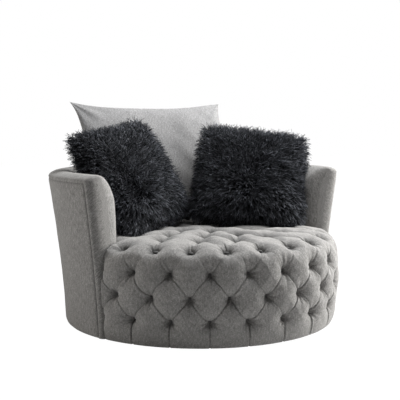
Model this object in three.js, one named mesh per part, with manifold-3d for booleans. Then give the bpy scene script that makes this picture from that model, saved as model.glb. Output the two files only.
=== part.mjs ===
// A round swivel cuddle chair: a deep-buttoned drum seat turns on a ball-race plate over a low plinth,
// and a padded shell wraps its back and sides. A loose back pillow and two throw pillows lie in it.
// Millimetres, +Z up, the origin on the floor under the swivel axis, the open front towards -Y.
// Angles are in degrees from the front, positive towards +X.
import * as THREE from 'three';
import { mergeVertices } from 'three/addons/utils/BufferGeometryUtils.js';
import Module from 'manifold-3d';

const wasm = await Module();
wasm.setup();

const gap = 0.3; // between faces that touch
const overrun = 2; // how far a cutter runs past the face that it cuts
const fullTurn = 360; // degrees
const arcGap = 0.9; // between curved faces whose flats don't line up

// Drum seat
const drumRadius = 550; // at the hem
const drumBulge = 16; // how far the puffs stand out over the hem
const hemHeight = 25; // hem over the floor
const seatCrown = 388; // top of the seat over the floor
const drumEndAngle = 70.8; // where the tufted front meets each arm
const armThickness = 92; // hem to inner pad where the pad stands in most
const seatClearance = 4; // between seat and inner pad
const insideTurnWidth = 104; // width of the seat's rim that steps in behind the arms
const tuftPitch = 15; // degrees between buttons in a row
const tuftTurn = 2; // the first button column off the centre line
const puffSteps = 4; // mesh columns per button pitch
const edgeStrip = 1; // degrees, the narrowest mesh column beside an arm
const armStep = 0.1; // degrees in which the seat steps in at an arm
const rearSteps = 16;
const pitDepth = 34;
const pleatDepth = 11;
const pitSharpness = 4;
const pleatSharpness = 3;
const topPitDepth = 20;
const pitSpread = 42;

// Plinth and swivel
const glideRadius = 18;
const glideHeight = 6;
const glideCircle = 240;
const glideCount = 4; // and one under the centre
const spigotRadius = 3;
const spigotLength = 10;
const plinthRadius = 290;
const boardThickness = 18;
const plateBorder = 40; // of each plate on both sides of the race
const plateThickness = 3;
const raceRadius = 140;
const ballRadius = 4;
const ballCount = 14;
const raceDepth = 1;
const raceGap = 0.15;
const cageWidth = 12;
const cageThickness = 2.4;
const screwCount = 4;
const screwOffset = 25; // the lower screws inside the race and the upper ones outside it
const screwHeadRadius = 4.5;
const screwHeadHeight = 2.5;
const screwRadius = 2.2;
const screwLength = 14;
const holeClearance = 0.3;
const screwTopShare = 0.8; // the flat top of a screw head
const screwSides = 8;
const glideSides = 12;
const plinthSides = 36;
const ringSides = 28;
const ballSides = 8;
const ballRings = 5;

// Seat frame
const hemDepth = 50; // of the seat's stuffing between frame and hem
const dustCoverThickness = 2;
const dustCoverInset = 10;
const frontWallThickness = 8;
const frontWallTrim = 1.5; // degrees short of the arms
const frontSteps = 28; // flats round the front
const dustCoverSides = 32;
const drumPostSize = 50;
const drumPostHeight = 195;
const postInset = 12; // from the edge of the deck opening
const deckBorder = 150; // from the foam core's edge to the square opening
const deckRearMargin = 2;
const springCount = 5;
const springSideMargin = 72; // from the opening's side to the outermost spring
const springWidth = 46;
const springWaves = 6;
const springStepsPerWave = 6;
const wireRadius = 1.9;
const springArch = 7;
const springLead = 20; // straight end of each spring
const leadShares = [1, 0.7, 0.4];
const leadSteps = 6;
const wireSides = 4;
const clipPlaceShare = 0.65; // how far along the straight end its clip sits
const clipWidth = 14;
const clipHeight = 6.5;
const clipDepth = 12;
const railStripThickness = 1.5;
const railStripDepth = 20;
const feltThickness = 4;
const coreSetback = 10; // behind the front wall's face
const coverRim = 24; // of the seat's stuffing round the core inside the shell
const coreHeight = 60;
const coreTrim = 1.6; // degrees short of the arms
const coreStep = 0.4; // degrees in which the core steps in at an arm

// Back and arm shell
const noseReach = 5; // degrees of each arm's rounded nose
const shellFlare = 65; // how far the shell leans out from hem to seam
const shellFlarePower = 1.45;
const seamHeight = 602; // the seam between outer panel and rolled top
const rollHeight = 22.5;
const panelThickness = 6;
const bottomRailWidth = 40;
const bottomRailHeight = 40;
const topRailWidth = 28;
const topRailHeight = 36;
const shellSteps = 28; // flats round the shell
const shellPostAngles = [115, 155, 205, 245]; // and one at each end
const topRailDrop = 8; // top of the rail under the seam
const postDepth = 22;
const postWidth = 44;
const liningThickness = 4;
const noseStandoff = 0.5; // degrees from the seat's end to the arm's foremost line
const noseDrop = 9; // the top edge falls by this at the tip
const noseOverlap = 0.5; // degrees of the pad inside its nose
const noseShares = [0, 0.3, 0.55, 0.75, 0.9, 1]; // its sections, from the shell to the tip
const noseRoundShare = 0.97;
const noseLevels = 6;
const panelLevels = 5;
const boltAngles = [97, 135, 225, 263];
const boltRadius = 4;
const boltHeadRadius = 9;
const boltHeadHeight = 4;
const boltTopShare = 0.7;
const nutRadius = 7;
const nutHeight = 5;

// Loose pillows
const backPillowWidth = 770;
const backPillowHeight = 545;
const backPillowThickness = 142;
const backPillowLean = 11.5;
const backPillowStandoff = 56; // its middle in front of the inner pad
const backPillowRise = 245.4; // its middle over the seat
const backPillowBend = 185; // how far its lower corners come forward
const backPillowBendPower = 1.2;
const backPillowCells = 16;
const backInsertCells = 12;
const furPillowSize = 455; // over the pile, which is 20 high on the front and the edges
const furPillowThickness = 132;
const furPillowCells = 10;
const furInsertCells = 8;
const leftPillowSide = -467.9; // its outer side from the axis
const leftPillowTop = 233.5; // its top edge behind the axis
const leftPillowSink = 8.1; // the corner that it stands on, under the seat's crown
const leftPillowLean = 30;
const leftPillowTurn = 21.5;
const leftPillowRoll = -9;
const rightPillowSide = 475.4;
const rightPillowTop = 136.1;
const rightPillowSink = 5.9;
const rightPillowLean = 34;
const rightPillowTurn = -29;
const rightPillowRoll = 6;
const crownPower = 4;
const coverWall = 4;
const insertInset = 13; // from seam to insert
const insertEase = 0.8; // between insert and cover
const seamDrawShare = 0.06; // how far a side is drawn in between its corners
const zipLength = 300;
const zipThickness = 3;
const zipDepth = 22; // how far its slot reaches up past the tape
const zipSteps = 10;

// Radii of the swivel plates
const plateInner = raceRadius - plateBorder;
const plateOuter = raceRadius + plateBorder;
const lowerScrewCircle = raceRadius - screwOffset;
const upperScrewCircle = raceRadius + screwOffset;

// Radii of the seat and where its parts end, in degrees
const bulgeRadius = drumRadius - armThickness;
const seatInsideRadius = bulgeRadius - seatClearance;
const insideTurnRadius = seatInsideRadius - insideTurnWidth;
const boardFrontRadius = drumRadius - hemDepth;
const frontWallInner = boardFrontRadius - frontWallThickness;
const coreFrontRadius = boardFrontRadius - coreSetback;
const coreInsideRadius = seatInsideRadius - coverRim;
const deckOpening = 2 * (coreInsideRadius - deckBorder);
const springPitch = (deckOpening - 2 * springSideMargin) / (springCount - 1);
const noseTipAngle = drumEndAngle + noseStandoff;
const shellAngle = noseTipAngle + noseReach; // where the outer panel, rails and lining start

// Levels of the stack from the floor up
const plinthBottom = glideHeight + gap;
const plinthTop = plinthBottom + boardThickness;
const lowerPlateBottom = plinthTop + gap;
const lowerPlateTop = lowerPlateBottom + plateThickness;
const ballCentre = lowerPlateTop - raceDepth + raceGap + ballRadius;
const upperPlateBottom = ballCentre + ballRadius + raceGap - raceDepth;
const upperPlateTop = upperPlateBottom + plateThickness;
const boardBottom = upperPlateTop + gap;
const boardTop = boardBottom + boardThickness;
const deckBottom = boardTop + gap + drumPostHeight + gap;
const deckTop = deckBottom + boardThickness;
const springLevel = deckTop + gap + railStripThickness + gap + wireRadius;
const feltBottom = springLevel + springArch + wireRadius + gap;
const coreBottom = feltBottom + feltThickness + gap;
const coreTop = coreBottom + coreHeight;
const padBottom = deckTop + gap;
const bottomRailBottom = boardTop + gap;
const bottomRailTop = bottomRailBottom + bottomRailHeight;
const topRailTop = seamHeight - topRailDrop;
const topRailBottom = topRailTop - topRailHeight;

// Radii of the shell's frame
const bottomRailOuter = drumRadius - panelThickness - gap;
const bottomRailMiddle = bottomRailOuter - bottomRailWidth / 2;
const topRailOuter = shellRadius(topRailBottom) - panelThickness - gap;
const topRailInner = topRailOuter - topRailWidth;
const topRailMiddle = topRailOuter - topRailWidth / 2;

const fabric = { color: 0x8f8d8a, roughness: 0.95 };
const fur = { color: 0x35363b, roughness: 1 };
const plywood = { color: 0xc7a877, roughness: 0.8 };
const pine = { color: 0xd6b98a, roughness: 0.8 };
const steel = { color: 0x9a9da0, roughness: 0.4, metalness: 1 };
const foam = { color: 0xe8dfbe, roughness: 1 };
const felt = { color: 0x4a4a4c, roughness: 1 };
const plastic = { color: 0x202022, roughness: 0.6 };
const fill = { color: 0xf2f1ec, roughness: 1 };

const chair = new THREE.Group();

function addPiece(name, geometry, look, parent = chair) {
  const mesh = new THREE.Mesh(geometry, new THREE.MeshStandardMaterial(look));
  mesh.name = name;
  parent.add(mesh);
  return mesh;
}

function radians(degrees) {
  return THREE.MathUtils.degToRad(degrees);
}

function place(angle, radius, z) {
  return new THREE.Vector3(radius * Math.sin(radians(angle)), -radius * Math.cos(radians(angle)), z);
}

// The outer face of the shell leans out slowly at first and faster towards its top.
function shellRadius(z) {
  const share = Math.max(0, (z - hemHeight) / (seamHeight - hemHeight));
  return drumRadius + shellFlare * share ** shellFlarePower;
}

// The posts stand straight between the two rails, and the lining lies on their inner faces.
function postRadius(z) {
  const share = (z - bottomRailTop) / (topRailBottom - bottomRailTop);
  return THREE.MathUtils.lerp(bottomRailMiddle, topRailMiddle, share);
}

function liningInner(z) {
  return postRadius(z) - postDepth / 2 - gap - liningThickness;
}

// A vertex list and a triangle list become one closed mesh whose faces point out.
function closedGeometry(points, triangles) {
  let volume = 0;
  for (const [a, b, c] of triangles) {
    volume += points[a].dot(new THREE.Vector3().crossVectors(points[b], points[c]));
  }
  const ordered = volume < 0 ? triangles.map(([a, b, c]) => [a, c, b]) : triangles;
  const geometry = new THREE.BufferGeometry().setFromPoints(points);
  geometry.setIndex(ordered.flat());
  return geometry;
}

function toSolid(geometry) {
  const bare = geometry.clone();
  bare.deleteAttribute('normal');
  bare.deleteAttribute('uv');
  const merged = mergeVertices(bare, gap / 1000);
  const mesh = new wasm.Mesh({
    numProp: 3,
    vertProperties: new Float32Array(merged.attributes.position.array),
    triVerts: new Uint32Array(merged.index.array),
  });
  return new wasm.Manifold(mesh);
}

function toGeometry(body) {
  const { vertProperties, triVerts } = body.getMesh();
  const geometry = new THREE.BufferGeometry();
  geometry.setAttribute('position', new THREE.BufferAttribute(new Float32Array(vertProperties), 3));
  geometry.setIndex([...triVerts]);
  return geometry;
}

function cutAway(geometry, cutters) {
  return toGeometry(cutters.reduce((body, cutter) => body.subtract(toSolid(cutter)), toSolid(geometry)));
}

function joinAll(geometries) {
  return toGeometry(geometries.map(toSolid).reduce((body, other) => body.add(other)));
}

// One section of (radius, height) points is carried round the axis through the given angles.
function sweepRound(angles, sectionAt) {
  const sections = angles.map((angle) => sectionAt(angle));
  const count = sections[0].length;
  const points = sections.flatMap((section, i) => section.map((p) => place(angles[i], p.x, p.y)));
  const triangles = [];
  for (let i = 0; i < angles.length - 1; i += 1) {
    for (let j = 0; j < count; j += 1) {
      const next = (j + 1) % count;
      const [a, b] = [i * count + j, i * count + next];
      triangles.push([a, b, b + count], [a, b + count, a + count]);
    }
  }
  const last = (angles.length - 1) * count;
  const turn = THREE.ShapeUtils.area(sections[0]) > 0;
  THREE.ShapeUtils.triangulateShape(sections[0], []).forEach(([a, b, c]) => {
    triangles.push(turn ? [a, c, b] : [a, b, c]);
  });
  THREE.ShapeUtils.triangulateShape(sections.at(-1), []).forEach(([a, b, c]) => {
    triangles.push(turn ? [last + a, last + b, last + c] : [last + a, last + c, last + b]);
  });
  return closedGeometry(points, triangles);
}

function spread(from, to, steps) {
  return Array.from({ length: steps + 1 }, (_, i) => THREE.MathUtils.lerp(from, to, i / steps));
}

function flatShape(points) {
  return new THREE.Shape(points.map((p) => new THREE.Vector2(p.x, p.y)));
}

// A plate of the given outline, standing on its bottom level.
function plate(shape, bottom, thickness) {
  const geometry = new THREE.ExtrudeGeometry(shape, { depth: thickness, bevelEnabled: false });
  return geometry.translate(0, 0, bottom);
}

function sectorShape(inner, outer, from, to, steps) {
  const outside = spread(from, to, steps).map((angle) => place(angle, outer, 0));
  const inside = spread(to, from, steps).map((angle) => place(angle, inner, 0));
  return flatShape([...outside, ...inside]);
}

// A disc with one radius in front and another behind the two arms.
function steppedOutline(frontRadius, rearRadius, angle, step) {
  const front = spread(-angle, angle, frontSteps).map((a) => place(a, frontRadius, 0));
  const rear = spread(angle + step, fullTurn - angle - step, shellSteps).map((a) => place(a, rearRadius, 0));
  return flatShape([...front, ...rear]);
}

function turned(profile, segments) {
  const points = profile.map(([radius, z]) => new THREE.Vector2(radius, z));
  return new THREE.LatheGeometry(points, segments).rotateX(Math.PI / 2);
}

function cylinder(radius, bottom, top, segments = 16) {
  return turned([[0, bottom], [radius, bottom], [radius, top], [0, top]], segments);
}

function addPlinth() {
  const holes = [];
  const glidePlaces = [new THREE.Vector3()];
  for (let i = 0; i < glideCount; i += 1) {
    glidePlaces.push(place(180 / glideCount + (fullTurn / glideCount) * i, glideCircle, 0));
  }
  glidePlaces.forEach((spot, i) => {
    const top = glideHeight + spigotLength;
    const profile = [[0, 0], [glideRadius, 0], [glideRadius, glideHeight], [spigotRadius, glideHeight],
      [spigotRadius, top], [0, top]];
    addPiece(`floor_glide_${i + 1}`, turned(profile, glideSides).translate(spot.x, spot.y, 0), plastic);
    const hole = cylinder(spigotRadius + holeClearance, -overrun, top + gap);
    holes.push(hole.translate(spot.x, spot.y, 0));
  });
  const disc = cylinder(plinthRadius, plinthBottom, plinthTop, plinthSides);
  for (const spot of screwPlaces(lowerScrewCircle)) {
    const bottom = lowerPlateTop - screwLength;
    const hole = cylinder(screwRadius + holeClearance, bottom, plinthTop + overrun, screwSides);
    holes.push(hole.translate(spot.x, spot.y, 0));
  }
  addPiece('plinth_board', cutAway(disc, holes), plywood);
}

function screwPlaces(circle) {
  return Array.from({ length: screwCount }, (_, i) => place((fullTurn / screwCount) * (i + 0.5), circle, 0));
}

// Each pressed plate is a flat ring with a rounded race for the balls.
function swivelPlate(bottom, raceFacesUp, screwCircle) {
  const top = bottom + plateThickness;
  const halfRace = Math.sqrt(ballRadius ** 2 - (ballRadius - raceDepth) ** 2) + raceGap;
  const face = raceFacesUp ? top : bottom;
  const floor = raceFacesUp ? top - raceDepth : bottom + raceDepth;
  const other = raceFacesUp ? bottom : top;
  const outerRace = raceRadius / Math.cos(Math.PI / ringSides); // its flats stay clear of the turning balls
  const profile = [[plateInner, other], [plateInner, face], [raceRadius - halfRace, face],
    [raceRadius - halfRace / 2, floor], [outerRace + halfRace / 2, floor], [outerRace + halfRace, face],
    [plateOuter, face], [plateOuter, other], [plateInner, other]];
  const ring = turned(raceFacesUp ? profile.reverse() : profile, ringSides);
  const holes = screwPlaces(screwCircle).map((spot) => cylinder(
    screwRadius + holeClearance, bottom - overrun, top + overrun, screwSides).translate(spot.x, spot.y, 0));
  return cutAway(ring, holes);
}

function addScrews(name, circle, seat, direction) {
  const profile = [[0, -screwLength], [screwRadius, -screwLength], [screwRadius, 0], [screwHeadRadius, 0],
    [screwHeadRadius * screwTopShare, screwHeadHeight], [0, screwHeadHeight]];
  screwPlaces(circle).forEach((spot, i) => {
    const screw = turned(profile, screwSides);
    if (direction < 0) screw.rotateX(Math.PI);
    addPiece(`${name}_${i + 1}`, screw.translate(spot.x, spot.y, seat), steel);
  });
}

// The ball cage: a thin ring that carries its balls between the two races.
function addBallCage() {
  const inner = raceRadius - cageWidth / 2;
  const outer = raceRadius + cageWidth / 2;
  const bottom = ballCentre - cageThickness / 2;
  const top = ballCentre + cageThickness / 2;
  const ring = turned([[inner, bottom], [outer, bottom], [outer, top], [inner, top], [inner, bottom]],
    ringSides);
  const balls = Array.from({ length: ballCount }, (_, i) => {
    const spot = place((fullTurn / ballCount) * i, raceRadius, ballCentre);
    const ball = new THREE.SphereGeometry(ballRadius, ballSides, ballRings).rotateX(Math.PI / 2);
    return ball.translate(spot.x, spot.y, spot.z);
  });
  addPiece('ball_cage', joinAll([ring, ...balls]), steel);
}

function boltHoles(bottom, top) {
  return boltAngles.map((angle) => {
    const spot = place(angle, bottomRailMiddle, 0);
    return cylinder(boltRadius + holeClearance, bottom, top, screwSides).translate(spot.x, spot.y, 0);
  });
}

function addSeatFrame() {
  const board = plate(steppedOutline(boardFrontRadius, bottomRailOuter, shellAngle - gap, gap), boardBottom,
    boardThickness);
  const screwHoles = screwPlaces(upperScrewCircle).map((spot) => cylinder(
    screwRadius + holeClearance, boardBottom - overrun, upperPlateBottom + screwLength, screwSides)
    .translate(spot.x, spot.y, 0));
  const holes = [...screwHoles, ...boltHoles(boardBottom - overrun, boardTop + overrun)];
  addPiece('seat_base_board', cutAway(board, holes), plywood);

  const sheetTop = boardBottom - gap;
  const sheetInner = plateOuter + dustCoverInset;
  const sheetOuter = boardFrontRadius - dustCoverInset;
  addPiece('dust_cover', turned([[sheetInner, sheetTop - dustCoverThickness],
    [sheetOuter, sheetTop - dustCoverThickness], [sheetOuter, sheetTop], [sheetInner, sheetTop],
    [sheetInner, sheetTop - dustCoverThickness]], dustCoverSides), felt);

  const wallEnd = drumEndAngle - frontWallTrim;
  const wallShape = sectorShape(frontWallInner, boardFrontRadius, -wallEnd, wallEnd, frontSteps);
  addPiece('drum_front_wall', plate(wallShape, boardTop + gap, deckTop - boardTop - gap), plywood);

  const halfOpening = deckOpening / 2;
  const beyond = halfOpening + postInset + drumPostSize / 2;
  [[0, -1], [1, 0], [0, 1], [-1, 0]].forEach(([x, y], i) => {
    const post = new THREE.BoxGeometry(drumPostSize, drumPostSize, drumPostHeight);
    post.translate(x * beyond, y * beyond, boardTop + gap + drumPostHeight / 2);
    addPiece(`drum_post_${i + 1}`, post, pine);
  });

  const deckRear = liningInner(deckBottom) - deckRearMargin;
  const deck = steppedOutline(frontWallInner - arcGap, deckRear, shellAngle - armStep, armStep);
  deck.holes.push(new THREE.Path([[-1, -1], [-1, 1], [1, 1], [1, -1]].map(
    ([x, y]) => new THREE.Vector2(x * halfOpening, y * halfOpening))));
  addPiece('deck_frame', plate(deck, deckBottom, boardThickness), plywood);
}

// Zigzag springs run front to back over the deck opening, each end held in a clip of its rail.
function addSprings() {
  const reach = deckOpening / 2 + springLead;
  const section = new THREE.Shape();
  section.setFromPoints(Array.from({ length: wireSides }, (_, i) => {
    const around = (2 * Math.PI * i) / wireSides;
    return new THREE.Vector2(wireRadius * Math.cos(around), wireRadius * Math.sin(around));
  }));
  const wave = springWaves * springStepsPerWave;
  for (let i = 0; i < springCount; i += 1) {
    const x = (i - (springCount - 1) / 2) * springPitch;
    const lead = leadShares.map((share) => share * springLead);
    const points = lead.map((run) => new THREE.Vector3(x, -reach - run, springLevel));
    for (let k = 0; k <= wave; k += 1) {
      const share = k / wave;
      const swing = Math.sin(2 * Math.PI * springWaves * share) * (springWidth / 2 - wireRadius);
      const rise = springArch * Math.sin(Math.PI * share);
      const along = THREE.MathUtils.lerp(-reach, reach, share);
      points.push(new THREE.Vector3(x + swing, along, springLevel + rise));
    }
    lead.reverse().forEach((run) => points.push(new THREE.Vector3(x, reach + run, springLevel)));
    const path = new THREE.CatmullRomCurve3(points);
    const wire = new THREE.ExtrudeGeometry(section, {
      steps: wave + leadSteps, extrudePath: path, bevelEnabled: false,
    });
    addPiece(`zigzag_spring_${i + 1}`, wire, steel);
  }
  for (const [name, side] of [['front', -1], ['rear', 1]]) {
    const middle = side * (reach + springLead * clipPlaceShare);
    const length = springPitch * (springCount - 1) + clipWidth * 2;
    const strip = new THREE.BoxGeometry(length, railStripDepth, railStripThickness);
    strip.translate(0, middle, deckTop + gap + railStripThickness / 2);
    const clips = [];
    const slots = [];
    for (let i = 0; i < springCount; i += 1) {
      const x = (i - (springCount - 1) / 2) * springPitch;
      const clip = new THREE.BoxGeometry(clipWidth, clipDepth, clipHeight);
      clips.push(clip.translate(x, middle, deckTop + gap + railStripThickness / 2 + clipHeight / 2));
      const slot = new THREE.BoxGeometry(2 * wireRadius + gap, clipDepth * 2, 2 * wireRadius + gap);
      slots.push(slot.translate(x, middle, springLevel));
    }
    addPiece(`spring_rail_${name}`, cutAway(joinAll([strip, ...clips]), slots), steel);
  }
}

// The seat's upholstery: the felt over the springs, the foam core, and the buttoned cover round both.
function insideReach(radius) {
  const share = (radius - insideTurnRadius) / (drumRadius + drumBulge - insideTurnRadius);
  if (radius < insideTurnRadius) return radius;
  return THREE.MathUtils.lerp(insideTurnRadius, seatInsideRadius, share);
}

// Each row of the cover from hem to middle: its radius, its height and its place among the button rows.
const coverRowShares = [
  [0.956, 0, -1.6], [0.972, 0.055, -1.2], [0.984, 0.146, -0.6], [0.992, 0.236, 0], [0.999, 0.357, 0.5],
  [1, 0.477, 1], [1, 0.598, 1.5], [0.996, 0.722, 2], [0.983, 0.818, 2.3], [0.957, 0.893, 2.55],
  [0.922, 0.935, 2.8], [0.88, 0.963, 3], [0.806, 0.981, 3.5], [0.719, 0.989, 4], [0.602, 0.996, 4.5],
  [0.505, 0.998, 5], [0.389, 1, 5.5], [0.265, 1, 6], [0.164, 1, 6.5]];
// Rings of buttons on the seat top: the ring's radius, the count round it and the first one's angle.
const topRingShares = [[0.602, 15, -8], [0.389, 10, -27], [0.164, 5, 0]];
const lastSideRow = 3;

function offWhole(value) {
  return Math.abs(value - Math.round(value));
}

function tuftDepth(angle, radius, row) {
  const column = (angle - tuftTurn) / tuftPitch;
  if (row > lastSideRow) return topDepth(angle, radius);
  if (row < 0) return pleatDepth * Math.max(0, 1 - 2 * offWhole(column)) ** pleatSharpness;
  const alongOne = 1 - 2 * offWhole(column + row / 2);
  const alongOther = 1 - 2 * offWhole(column - row / 2);
  const pleat = Math.max(alongOne, alongOther) ** pleatSharpness;
  const pit = (alongOne * alongOther) ** pitSharpness;
  return pleatDepth * pleat + (pitDepth - pleatDepth) * pit;
}

function topDepth(angle, radius) {
  const spot = place(angle, radius, 0);
  let depth = 0;
  for (const [radiusShare, count, first] of topRingShares) {
    const ring = radiusShare * (drumRadius + drumBulge);
    for (let i = 0; i < count; i += 1) {
      const distance = spot.distanceTo(place(first + (fullTurn / count) * i, ring, 0));
      depth = Math.max(depth, topPitDepth * Math.exp(-((distance / pitSpread) ** 2)));
    }
  }
  return depth;
}

function coverPoint(angle, index) {
  const outer = drumRadius + drumBulge;
  const at = (i) => {
    const row = THREE.MathUtils.clamp(i, 0, coverRowShares.length - 1);
    const [radiusShare, heightShare] = coverRowShares[row];
    return new THREE.Vector2(radiusShare * outer, hemHeight + heightShare * (seatCrown - hemHeight));
  };
  const spot = at(index);
  const along = at(index + 1).sub(at(index - 1)).normalize();
  const inFront = Math.abs(angle) <= drumEndAngle;
  const row = coverRowShares[index][2];
  const radius = inFront ? spot.x : insideReach(spot.x);
  const depth = inFront || row > lastSideRow ? tuftDepth(angle, radius, row) : 0;
  return place(angle, radius - along.y * depth, spot.y + along.x * depth);
}

function coverAngles() {
  const step = tuftPitch / puffSteps;
  const angles = [-drumEndAngle];
  const first = Math.ceil((-drumEndAngle + edgeStrip - tuftTurn) / step);
  const last = Math.floor((drumEndAngle - edgeStrip - tuftTurn) / step);
  for (let i = first; i <= last; i += 1) angles.push(tuftTurn + step * i);
  angles.push(drumEndAngle);
  return [...angles, ...spread(drumEndAngle + armStep, fullTurn - drumEndAngle - armStep, rearSteps)];
}

function coverForm() {
  const angles = coverAngles();
  const rows = coverRowShares.length;
  const points = angles.flatMap((angle) => {
    const signed = angle > fullTurn / 2 ? angle - fullTurn : angle;
    return coverRowShares.map((_, index) => coverPoint(signed, index));
  });
  const top = points.push(new THREE.Vector3(0, 0, seatCrown)) - 1;
  const bottom = points.push(new THREE.Vector3(0, 0, hemHeight)) - 1;
  const triangles = [];
  for (let i = 0; i < angles.length; i += 1) {
    const here = i * rows;
    const next = ((i + 1) % angles.length) * rows;
    for (let j = 0; j < rows - 1; j += 1) {
      const [a, b, c, d] = [here + j, next + j, next + j + 1, here + j + 1];
      // The short diagonals follow the pleats, which cross in every other square.
      if ((i + j) % 2 === 0) triangles.push([a, b, c], [a, c, d]);
      else triangles.push([a, b, d], [b, c, d]);
    }
    triangles.push([here + rows - 1, next + rows - 1, top], [next, here, bottom]);
  }
  return closedGeometry(points, triangles);
}

function coreOutline(grow) {
  return steppedOutline(coreFrontRadius + grow, coreInsideRadius + grow, drumEndAngle - coreTrim, coreStep);
}

function addSeat() {
  const feltSheet = plate(coreOutline(0), feltBottom, feltThickness);
  addPiece('deck_felt', feltSheet, felt);
  addPiece('seat_foam_core', plate(coreOutline(0), coreBottom, coreHeight), foam);

  const hollowBottom = hemHeight - overrun;
  const hollowHeight = deckTop + gap - hollowBottom;
  const rearStart = drumEndAngle + armStep / 2;
  const rearHollow = plate(sectorShape(plateInner, drumRadius + shellFlare, rearStart, fullTurn - rearStart,
    2 * shellSteps), hollowBottom, hollowHeight);
  const drumHollow = cylinder(boardFrontRadius + 2 * gap, hollowBottom, deckTop + gap, 2 * plinthSides);
  const coreHollow = plate(coreOutline(gap), deckTop - gap, coreTop - deckTop + 2 * gap);
  addPiece('tufted_seat_cover',
    cutAway(coverForm(), [drumHollow, rearHollow, coreHollow]), fabric);
}

// The pad's face from its foot on the deck to the outer seam: its radius between bulge and seam,
// its height between foot and seam, and its height in the roll over the seam.
const padFaceShares = [
  [0.115, 0, 0], [0.083, 0.342, 0], [0, 0.603, 0], [0.057, 0.8, 0], [0.261, 0.965, 0], [0.46, 1, 0.6],
  [0.65, 1, 1], [0.84, 1, 0.8], [0.96, 1, 0.35], [1, 1, 0]];
const padFaceSteps = 14;

function padFace() {
  const seamRadius = shellRadius(seamHeight);
  const points = padFaceShares.map(([radiusShare, heightShare, rollShare]) => new THREE.Vector2(
    THREE.MathUtils.lerp(bulgeRadius, seamRadius, radiusShare),
    THREE.MathUtils.lerp(padBottom, seamHeight, heightShare) + rollShare * rollHeight));
  return new THREE.SplineCurve(points).getPoints(padFaceSteps);
}

function padSection() {
  const lip = topRailTop + gap;
  const foot = new THREE.Vector2(liningInner(padBottom) - gap, padBottom);
  return [...padFace(),
    new THREE.Vector2(shellRadius(seamHeight), lip),
    new THREE.Vector2(topRailInner - gap, lip),
    new THREE.Vector2(topRailInner - gap, topRailBottom),
    new THREE.Vector2(liningInner(topRailBottom) - gap, topRailBottom),
    foot];
}

function faceRadiusAt(face, z) {
  for (let i = 1; i < face.length; i += 1) {
    if (face[i].y >= z) {
      const share = (z - face[i - 1].y) / (face[i].y - face[i - 1].y);
      return THREE.MathUtils.lerp(face[i - 1].x, face[i].x, THREE.MathUtils.clamp(share, 0, 1));
    }
  }
  return (face.at(-1).x + bulgeRadius) / 2;
}

// The nose of an arm: the full thickness of the shell, rounded off towards its foremost line.
function noseSection(angle) {
  const face = padFace();
  const stripInner = boardFrontRadius + 2 * gap;
  const foot = [hemHeight, padBottom].map((z) => new THREE.Vector2(stripInner, z));
  const outerLevels = spread(seamHeight, hemHeight, noseLevels).slice(1);
  const outer = outerLevels.map((z) => new THREE.Vector2(shellRadius(z), z));
  const outline = [...foot, ...face, ...outer];
  const share = (shellAngle - gap - Math.abs(angle)) / (shellAngle - gap - noseTipAngle);
  const width = Math.sqrt(1 - (noseRoundShare * THREE.MathUtils.clamp(share, 0, 1)) ** 2);
  return outline.map((p) => {
    const outerRadius = shellRadius(Math.min(p.y, seamHeight));
    const inner = p.y <= padBottom ? stripInner : faceRadiusAt(face, Math.min(p.y, seamHeight));
    const middle = (inner + outerRadius) / 2;
    const rise = Math.max(0, p.y - padBottom) / (seamHeight - padBottom);
    return new THREE.Vector2(middle + (p.x - middle) * width, p.y - (1 - width) * noseDrop * rise ** 2);
  });
}

function noseAngles(side) {
  const back = shellAngle - gap;
  const reach = back - noseTipAngle;
  return noseShares.map((share) => side * (back - share * reach));
}

function leaningPost(angle) {
  const height = topRailBottom - bottomRailTop - 2 * gap;
  const bottom = bottomRailTop + gap;
  const geometry = new THREE.BoxGeometry(postWidth, postDepth, height).translate(0, 0, bottom + height / 2);
  const position = geometry.attributes.position;
  for (let i = 0; i < position.count; i += 1) {
    position.setY(i, position.getY(i) - postRadius(position.getZ(i)));
  }
  return geometry.rotateZ(radians(angle));
}

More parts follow.
